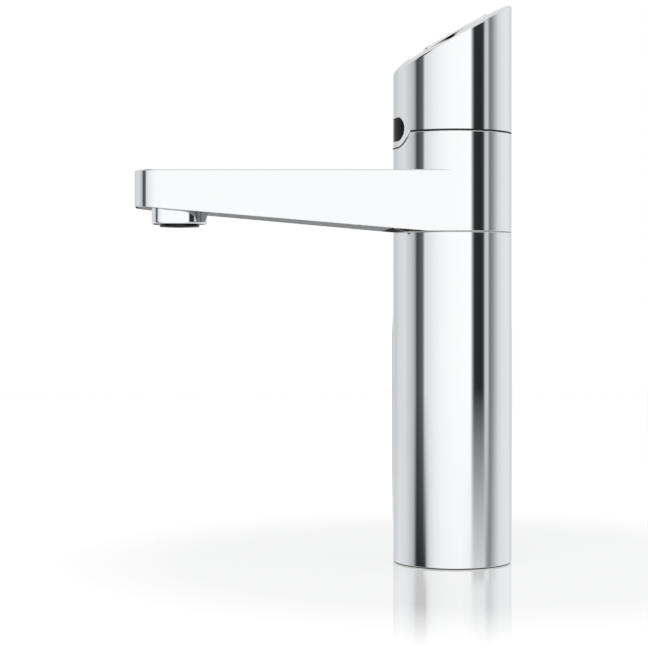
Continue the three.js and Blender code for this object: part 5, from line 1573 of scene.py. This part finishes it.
@dataclass
class Keys:
    """Two long push pads and the small safety key, with their springs.

    Attributes:
        length: Length of a pad along the slope.
        width: Width of a pad.
        corner: Radius of its corners.
        pad_y: Distance of a pad's middle from the middle of the face.
        proud: How far a pad's ends stand above the face.
        dish: How much lower its middle lies.
        lock_x: Place of the safety key down the slope.
        flange_top: Depth of the flange that keeps a key in.
        flange_bottom: Depth of the flange's lower face.
        coil: Radius of a spring's coils.
        wire: Radius of its wire.
    """

    length: float = 36.4
    width: float = 13.0
    corner: float = 3.2
    pad_y: float = 10.7
    proud: float = 1.2
    dish: float = 0.6
    lock_x: float = -25.2
    flange_top: float = -3.2
    flange_bottom: float = -4.7
    coil: float = 2.7
    wire: float = 0.25

    def build(self) -> None:
        """Builds and dresses the keys."""
        frame = LEVELS.slant_frame()
        pads = ((Body.BOILING, "boiling", self.pad_y), (Body.CHILLED, "chilled", -self.pad_y))
        for body, name, y in pads:
            pad = self.pad(f"{name}_push_pad").shifted(0, y, 0).moved(frame).smoothed()
            pad.finished(body, Slot.CHROME, f"{name}_pad")
            self.spring(name, 0.0, y)
        lock = self.lock_key().shifted(self.lock_x, 0, 0).moved(frame).smoothed()
        lock.finished(Body.LOCK, Slot.CHROME, "lock_key")
        self.spring("lock", self.lock_x, 0.0)

    def outline(self, growth: float) -> Outline:
        """A pad's outline, or one grown from it, ordered for a ladder of faces."""
        length, width = self.length + 2 * growth, self.width + 2 * growth
        return rounded_rectangle(length, width, self.corner + growth, 10)

    def opening(self) -> Solid:
        """Cutter of a pad's opening, its upper edge broken."""
        steps = ((0.3, -4.0), (0.3, -0.25), (0.6, 0.05), (0.6, 3.0))
        return Solid.lofted("opening", [at_height(self.outline(g), z) for g, z in steps])

    def pad(self, name: str) -> Solid:
        """A pad with its flange, dished top, stem and guide pins, about its own middle."""
        soft = 0.45
        rings = [
            at_height(self.outline(1.0), self.flange_bottom),
            at_height(self.outline(1.0), self.flange_top),
            at_height(self.outline(0.0), self.flange_top),
        ]
        for inset, drop in rounding(soft, 5):
            rings.append([(x, y, self.top_height(x) - drop) for x, y in self.outline(-inset)])
        pad = self.laddered(name, rings)
        top = self.flange_bottom + 0.5
        for x, radius, bottom in ((0.0, 1.9, -13.65), (-11.0, 1.2, -11.7), (11.0, 1.2, -11.7)):
            tip = [(0, bottom), (radius - 0.3, bottom), (radius, bottom + 0.3)]
            stem = Solid.turned("stem", [*tip, (radius, top), (0, top)], 40)
            pad.combine(stem.shifted(x, 0, 0), Cut.JOIN)
        return pad

    def top_height(self, x: float) -> float:
        """Height of a pad's dished top at a place along it."""
        half = self.length / 2 - self.corner / 2
        along = min(1.0, abs(x) / half)
        return self.proud - self.dish * (1 - along * along)

    def laddered(self, name: str, rings: Sequence[Ring]) -> Solid:
        """Rings of a pad closed on top by faces that run straight across it.

        Args:
            name: Name of the piece.
            rings: The rings, from the bottom up.

        Returns:
            The closed solid.
        """
        last, count = len(rings) - 1, len(rings[0])
        quarter, rungs = count // 4, 24
        start = last * count
        points = [point for ring in rings for point in ring]
        near = [start + i for i in [*range(count - quarter, count), *range(quarter)]]
        far = [start + i for i in range(3 * quarter - 1, quarter - 1, -1)]
        faces = [list(range(count - 1, -1, -1)), *between_rings(count, last)]
        sides = []
        for edge in (near, far):
            middle = self.between(points, edge, quarter, rungs)
            sides.append([*edge[:quarter], *middle, *edge[quarter:]])
            faces = self.fill_seams(faces, edge, middle, quarter)
        low, high = sides
        for i in range(len(low) - 1):
            corners = [low[i], low[i + 1], high[i + 1], high[i]]
            faces.append(list(dict.fromkeys(corners)))
        return Solid.from_faces(name, points, faces)

    def between(self, points: Ring, edge: Sequence[int], quarter: int, rungs: int) -> list[int]:
        """Adds points along a pad's straight side, on its dished top.

        Args:
            points: All points so far, which the new ones are added to.
            edge: Indices along the side, corner arc to corner arc.
            quarter: Points in each corner's arc.
            rungs: Number of gaps between the new points.

        Returns:
            Indices of the new points.
        """
        first, second = points[edge[quarter - 1]], points[edge[quarter]]
        added = []
        for i in range(1, rungs):
            share = i / rungs
            x = first[0] + (second[0] - first[0]) * share
            y = first[1] + (second[1] - first[1]) * share
            points.append((x, y, self.top_height(x)))
            added.append(len(points) - 1)
        return added

    def fill_seams(
        self, faces: list[list[int]], edge: Sequence[int], middle: Sequence[int], quarter: int
    ) -> list[list[int]]:
        """Adds the side's new points to the face below it, so that no gap is left."""
        ends = {edge[quarter - 1], edge[quarter]}
        filled = []
        for face in faces:
            if ends <= set(face) and len(face) == 4:
                filled.append(self.with_points(face, edge, middle, quarter))
            else:
                filled.append(face)
        return filled

    def with_points(
        self, face: list[int], edge: Sequence[int], middle: Sequence[int], quarter: int
    ) -> list[int]:
        """One face with a side's new points between that side's ends."""
        first, second = edge[quarter - 1], edge[quarter]
        i, j = face.index(first), face.index(second)
        if (i + 1) % 4 == j:
            return [*face[: i + 1], *middle, *face[i + 1 :]]
        return [*face[: j + 1], *reversed(middle), *face[j + 1 :]]

    def lock_key(self) -> Solid:
        """The safety key with its flange, stem and hollowed face, on its own axis."""
        radius, proud, low, high = 3.6, 0.8, self.flange_bottom, self.flange_top
        stem = [(0.0, -13.65), (1.6, -13.65), (1.9, -13.35), (1.9, low)]
        flange = [(radius + 1.0, low), (radius + 1.0, high), (radius, high)]
        hollow = [(2.4, proud - 0.06), (1.6, proud - 0.2), (0.8, proud - 0.28), (0.0, proud - 0.3)]
        profile = [*stem, *flange, *upper_edge(radius, proud, 0.4, 4), *hollow]
        return Solid.turned("safety_key", profile, 96)

    def spring(self, name: str, x: float, y: float) -> None:
        """Builds a key's coil spring, fixed to the spout.

        Args:
            name: Name of the key.
            x: Place of the key down the slope.
            y: Place of the key across it.
        """
        frame = LEVELS.slant_frame()
        bottom, top, turns, per_turn = -9.45, -5.25, 3, 32
        path = []
        for i in range(turns * per_turn + 1):
            share = i / (turns * per_turn)
            turn = 2 * math.pi * turns * share
            height = bottom + (top - bottom) * share
            across, along = self.coil * math.cos(turn), self.coil * math.sin(turn)
            path.append(Vector((x + across, y + along, height)))
        coil = Solid.swept(f"{name}_return_spring", path, self.wire, 10).moved(frame).smoothed()
        piece = coil.finished(Body.SPOUT, Slot.SPRING, f"{name}_spring")
        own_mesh(piece)


# ---- Water lines and inner pieces ----


@dataclass
class WaterLines:
    """Inner hoses and cable, which run from the column into the spout.

    Attributes:
        start_z: Height where the hoses leave their fittings.
        bend_radius: Radius of their bend into the spout.
        end_x: Where they end in the manifold.
        cable_start: Height where the cable leaves its gland.
        cable_depth: How far below the slope's height at the axis the cable ends.
        lead_depth: The same for the indicator's lead.
    """

    start_z: float = 11.7
    bend_radius: float = 24.0
    end_x: float = -118.2
    cable_start: float = 0.4
    cable_depth: float = 26.5
    lead_depth: float = 29.1

    def build(self) -> None:
        """Builds and dresses the lines."""
        for line in LINES:
            path = self.path(line.x, line.y)
            hose = Solid.swept(f"{line.name}_water_hose", path, line.radius).smoothed()
            self.twist(hose, Slot.SILICONE, f"{line.name}_hose")
        low, high = self.cable_start, LEVELS.slant_axis_z - self.cable_depth
        path = [Vector((GLAND.x, GLAND.y, low + (high - low) * i / 60)) for i in range(61)]
        cable = Solid.swept("key_cable", path, GLAND.radius).smoothed()
        self.twist(cable, Slot.PLASTIC, "control_cable")
        lead = Solid.swept("indicator_wire", self.lead_path(), 1.0, 16).smoothed()
        lead.finished(Body.SPOUT, Slot.PLASTIC, "indicator_lead")

    def lead_path(self) -> list[Vector]:
        """Middle of the lead from the key board down to the indicator."""
        near, far, steps = -12.0, -22.1, 24
        top, bottom = LEVELS.slant_axis_z - self.lead_depth, LEVELS.window_z
        points = []
        for i in range(steps + 1):
            t = i / steps
            a, b, c = (1 - t) ** 3, 3 * t * (1 - t), t**3
            x = near * (a + b) + far * c
            z = top * a + (top + bottom) / 2 * b * (1 - t) + bottom * (b * t + c)
            points.append(Vector((x, 0.0, z)))
        return points

    def path(self, x: float, y: float) -> list[Vector]:
        """Middle of a hose, up the column and forward to the manifold."""
        run, bend, start = LEVELS.hose_run_z, self.bend_radius, x - self.bend_radius
        rise = run - bend - self.start_z
        points = [Vector((x, y, self.start_z + rise * i / 40)) for i in range(40)]
        for i in range(17):
            turn = math.pi / 2 * i / 16
            forward, down = bend * (1 - math.cos(turn)), bend * (1 - math.sin(turn))
            points.append(Vector((x - forward, y, run - down)))
        points += [Vector((start + (self.end_x - start) * i / 12, y, run)) for i in range(1, 13)]
        return points

    def twist(self, line: Solid, slot: Slot, node: str) -> None:
        """Dresses a line that runs from the column to the spout, set on no body."""
        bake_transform(line.thing)
        dress(line.thing, slot)
        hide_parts(node)


def numbered(name: str, count: int) -> list[str]:
    """A name with the numbers from 1 up."""
    return [f"{name}_{number}" for number in range(1, count + 1)]


@dataclass
class InnerPieces:
    """CAD nodes that keep their own shape and get their finish here.

    Attributes:
        by_slot: Names of the nodes of each slot.
    """

    by_slot: dict[Slot, Sequence[str]] = field(
        default_factory=lambda: {
            Slot.BRASS: ["swivel_housing", "swivel_spigot", "water_manifold"],
            Slot.STEEL: [
                "stop_pin",
                *numbered("spigot_screw", 3),
                *numbered("ring_screw", 3),
                *numbered("carrier_screw", 2),
            ],
            Slot.SPRING: ["retaining_ring"],
            Slot.ACETAL: ["lower_bush"],
            Slot.RUBBER: ["aerator_washer"],
            Slot.PLASTIC: [
                "joining_ring",
                "key_carrier",
                "board_connector",
                *[f"{key}_switch" for key in ("boiling", "chilled", "lock")],
            ],
            Slot.BOARD: ["indicator_board", "key_board"],
            Slot.RED_LIGHT: ["indicator_light_red"],
            Slot.BLUE_LIGHT: ["indicator_light_blue"],
        }
    )

    def build(self, nodes: dict[str, bpy.types.Object]) -> None:
        """Dresses the nodes.

        Args:
            nodes: The frame's objects by name.
        """
        for slot, names in self.by_slot.items():
            for name in names:
                dress(nodes[name], slot)


# ---- Studio and camera ----


Bands = tuple[Vector2, ...]


class World(Wiring):
    """The studio's world while it is wired up."""

    def __init__(self) -> None:
        """Starts an empty world and the direction that it is seen in."""
        world = bpy.data.worlds.new("studio")
        bpy.context.scene.world = world
        world.use_nodes = True
        super().__init__(world.node_tree)
        self.tree.nodes.clear()
        self.place = self.add("ShaderNodeTexCoord").outputs["Generated"]
        self.height = self.along((0.0, 0.0, 1.0))

    def along(self, direction: Sequence[float]) -> Socket:
        """How far the seen direction points along another one."""
        node = self.add("ShaderNodeVectorMath", operation="DOT_PRODUCT")
        node.inputs[1].default_value = direction
        self.link(self.place, node.inputs[0])
        return node.outputs["Value"]

    def past(self, value: Socket, *edges: Vector2) -> Socket:
        """How far a value has gone from one end of an edge to the other, for all edges at once."""
        shares = [self.mapped(value, edge, (0.0, 1.0)) for edge in edges]
        return self.joined("MULTIPLY", *shares)

    def light(self, strength: float, colour: Socket | Colour) -> Socket:
        """A background of one colour, or of a painted one."""
        node = self.add("ShaderNodeBackground")
        node.inputs["Strength"].default_value = strength
        if isinstance(colour, tuple):
            node.inputs["Color"].default_value = (*colour, 1.0)
        else:
            self.link(colour, node.inputs["Color"])
        return node.outputs["Background"]


@dataclass
class Studio:
    """White cyclorama with grey wings and two dark strips, a pale glossy table and soft lamps.

    Attributes:
        front: Direction from the tap towards the front, in plan.
        strength: Brightness of the world where its colour is white.
        ceiling: The ceiling's share of that.
        gap_across: Direction across the dark gap between the ceiling's panels.
        behind: The share of the low dark edge behind the tap.
        floor_radius: Radius of the table top, in metres.
        mirror: How much of its surroundings the table mirrors near the tap.
        mirror_fade: Distances from the tap, in metres, between which that fades away.
        shade: How much of its real light and shadow the table shows to the camera.
        horizon: Brightness of the studio round the tap, each with its degrees from the
            front, anticlockwise from above.
        low: The same well below and well above the horizon, where the strips have ended.
    """

    front: Vector2 = (-0.069756, -0.997564)
    strength: float = 1.1
    ceiling: float = 0.7
    gap_across: Vector3 = (0.864, -0.122, 0.489)
    behind: float = 0.03
    floor_radius: float = 1.6
    mirror: float = 0.47
    mirror_fade: Vector2 = (0.13, 0.225)
    shade: float = 0.16
    horizon: Bands = (
        (-180, 1.0), (-166, 1.0), (-160, 0.68), (-142, 0.75), (-131, 0.83), (-106, 0.81),
        (-94, 0.68), (-83, 0.38), (-75, 0.2), (-71, 0.3), (-68.5, 0.64), (-62.5, 0.6),
        (-58.5, 0.05), (-53, 0.022), (-39, 0.03), (-35.5, 0.3), (-31.5, 1.06), (8, 1.03),
        (24, 0.98), (40, 0.9), (52, 0.8), (57.5, 0.74), (62, 0.14), (75, 0.06), (79, 0.3),
        (84, 0.53), (108, 0.77), (126, 0.74), (146, 0.62), (160, 0.68), (166, 1.0), (180, 1.0),
    )
    low: Bands = (
        (-180, 1.0), (-166, 1.0), (-160, 0.66), (-131, 0.83), (-100, 0.78), (-94, 0.7),
        (-83, 0.5), (-77, 0.36), (-72, 0.26), (-68, 0.28), (-64, 0.42), (-60, 0.7), (-40, 0.7),
        (-33, 0.85), (-28, 0.95), (-12, 1.0), (8, 0.98), (24, 0.95), (40, 0.84), (48, 0.72),
        (53, 0.5), (57, 0.03), (76, 0.025), (80, 0.2), (84, 0.45), (99, 0.7), (126, 0.8),
        (146, 0.7), (160, 0.66), (166, 1.0), (180, 1.0),
    )

    def build(self) -> None:
        """Builds the world, the table top and the lamps."""
        self.world()
        self.table_top()
        self.lamp("key_lamp", (-0.5, -0.75, 1.1), 0.9, 7.0)
        self.lamp("fill_lamp", (0.7, -0.2, 1.0), 0.8, 3.0)
        LOG.info("studio: %d bands", len(self.horizon) + len(self.low))

    def world(self) -> None:
        """White to the camera; glossy rays see the studio's bands, diffuse ones an even white."""
        wires = World()
        height = wires.height
        ahead = wires.along((*self.front, 0.0))
        left = wires.along((self.front[1], -self.front[0], 0.0))
        angle = wires.joined("ARCTAN2", left, ahead)
        turn = wires.mapped(angle, (-math.pi, math.pi), (0.0, 1.0))
        below_strips = wires.past(height, (-0.0558, -0.1564))
        above_strips = wires.past(height, (0.156, 0.163))
        past_strips = wires.joined("MAXIMUM", below_strips, above_strips)
        bands = [self.painted(wires, turn, bands) for bands in (self.horizon, self.low)]
        walls = wires.mixed(past_strips, *bands)
        low_behind = wires.joined(
            "MULTIPLY",
            wires.past(height, (-0.014, -0.024), (-0.13, -0.1)),
            wires.past(ahead, (-0.966, -0.978)),
        )
        walls = wires.mixed(low_behind, walls, self.behind)
        across = wires.along(self.gap_across)
        gap = wires.joined(
            "MULTIPLY",
            wires.past(height, (0.6, 0.76)),
            wires.past(across, (-0.16, 0.0), (0.17, 0.1)),
        )
        ceiling = wires.mixed(gap, self.ceiling, 0.0)
        whole = wires.mixed(wires.past(height, (0.4, 0.52)), walls, ceiling)
        paths = wires.add("ShaderNodeLightPath").outputs
        seen = wires.joined("MAXIMUM", paths["Is Camera Ray"], paths["Is Transmission Ray"])
        even = wires.light(0.95, (0.99, 0.995, 1.0))
        lit = wires.blend(paths["Is Glossy Ray"], even, wires.light(self.strength, whole))
        surface = wires.blend(seen, lit, wires.light(1.0, (1.0, 1.0, 1.0)))
        wires.link(surface, wires.add("ShaderNodeOutputWorld").inputs["Surface"])

    def painted(self, wires: World, turn: Socket, bands: Bands) -> Socket:
        """Bands as a colour by direction, the greys among them a little cool.

        Args:
            wires: The world's tree.
            turn: Socket with the direction, 0 to 1 for -180 to 180 degrees.
            bands: The bands.

        Returns:
            The colour's socket.
        """
        ramp = wires.add("ShaderNodeValToRGB")
        stops = ramp.color_ramp.elements
        stops.remove(stops[-1])
        for i, (angle, light) in enumerate(bands):
            place = (angle + 180) / 360
            stop = stops[0] if i == 0 else stops.new(place)
            stop.position = place
            level = light / self.strength
            cool = 1.0 - 0.08 * (1.0 - level)
            stop.color = (level * cool, level, level * (2 - cool), 1.0)
        wires.link(turn, ramp.inputs["Fac"])
        return ramp.outputs["Color"]

    def table_top(self) -> None:
        """A white disc that mirrors the foot faintly and keeps a soft shadow."""
        outline = arc((0.0, 0.0), self.floor_radius / MM, 0, 360, 128)[:-1]
        top = Solid.upright("table_top", outline, -20.0, -0.02)
        nodes = Nodes("table top")
        nodes.set(base_color=(0.95, 0.95, 0.95, 1.0), roughness=0.6, specular_ior_level=0.0)
        glow = nodes.add("ShaderNodeEmission").outputs["Emission"]
        camera = nodes.add("ShaderNodeLightPath").outputs["Is Camera Ray"]
        seen = nodes.mapped(camera, (0.0, 1.0), (0.0, 1.0 - self.shade))
        surface = nodes.blend(seen, nodes.shader.outputs["BSDF"], glow)
        place = nodes.add("ShaderNodeTexCoord")
        flat = nodes.add("ShaderNodeVectorMath", operation="MULTIPLY")
        flat.inputs[1].default_value = (1.0, 1.0, 0.0)
        far = nodes.add("ShaderNodeVectorMath", operation="LENGTH")
        nodes.link(place.outputs["Object"], flat.inputs[0])
        nodes.link(flat.outputs["Vector"], far.inputs[0])
        fade = nodes.mapped(far.outputs["Value"], self.mirror_fade, (self.mirror, 0.0))
        mirror = nodes.add("ShaderNodeBsdfGlossy")
        mirror.inputs["Roughness"].default_value = 0.03
        mixed = nodes.blend(fade, surface, mirror.outputs["BSDF"])
        nodes.link(mixed, nodes.tree.nodes["Material Output"].inputs["Surface"])
        top.thing.data.materials.append(nodes.made)
        top.thing.visible_glossy = False

    def lamp(self, name: str, place: Vector3, size: float, power: float) -> None:
        """Adds a soft square lamp that looks at the tap.

        Args:
            name: Name of the lamp.
            place: Where it hangs, in metres.
            size: Its width in metres.
            power: Its power in watts.
        """
        light = bpy.data.lights.new(name, "AREA")
        light.size = size
        light.energy = power
        thing = bpy.data.objects.new(name, light)
        thing.location = place
        thing.rotation_mode = "QUATERNION"
        aim = Vector((0.0, 0.0, 0.1)) - Vector(place)
        thing.rotation_quaternion = aim.to_track_quat("-Z", "Y")
        thing.visible_glossy = False
        bpy.context.scene.collection.objects.link(thing)


@dataclass
class PhotoCamera:
    """Camera at the photograph's viewing angle.

    Attributes:
        place: Where it stands, in metres.
        heading: The level direction that it looks in.
        lens: Focal length in millimetres.
        shift_y: Upward shift of the frame.
    """

    place: Vector3 = (-0.12712, -0.89199, 0.13633)
    heading: Vector3 = (0.069756, 0.997564, 0.0)
    lens: float = 98.94
    shift_y: float = -0.0514

    def build(self) -> None:
        """Makes the camera the scene's own."""
        data = bpy.data.cameras.new("photo_camera")
        data.sensor_width = 36.0
        data.lens = self.lens
        data.shift_y = self.shift_y
        data.clip_start = 0.01
        data.clip_end = 20.0
        camera = bpy.data.objects.new("photo_camera", data)
        camera.location = self.place
        camera.rotation_mode = "QUATERNION"
        camera.rotation_quaternion = Vector(self.heading).to_track_quat("-Z", "Y")
        bpy.context.scene.collection.objects.link(camera)
        bpy.context.scene.camera = camera


def corners(box: tuple[Vector, Vector]) -> list[list[float]]:
    """A box's two corners as plain lists."""
    return [list(corner) for corner in box]


def main() -> None:
    """Builds the tap's visual model around its frame."""
    logging.basicConfig(level=logging.INFO, format="%(name)s: %(message)s")
    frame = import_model()
    bpy.context.scene.view_settings.view_transform = "Standard"
    PhotoCamera().build()
    Studio().build()
    FootAndColumn().build()
    SwivelSeam().build()
    plate = UndersidePlate()
    Spout().build(plate)
    nozzle = Nozzle()
    plate.build(nozzle)
    nozzle.build()
    keys = Keys()
    Head().build(keys)
    # The black lip under the head is painted shade for the gap's shadow.
    PaintedShadeLip().build()
    IndicatorWindow().build()
    keys.build()
    WaterLines().build()
    InnerPieces().build(frame["nodes"])


if __name__ == "__main__":
    main()
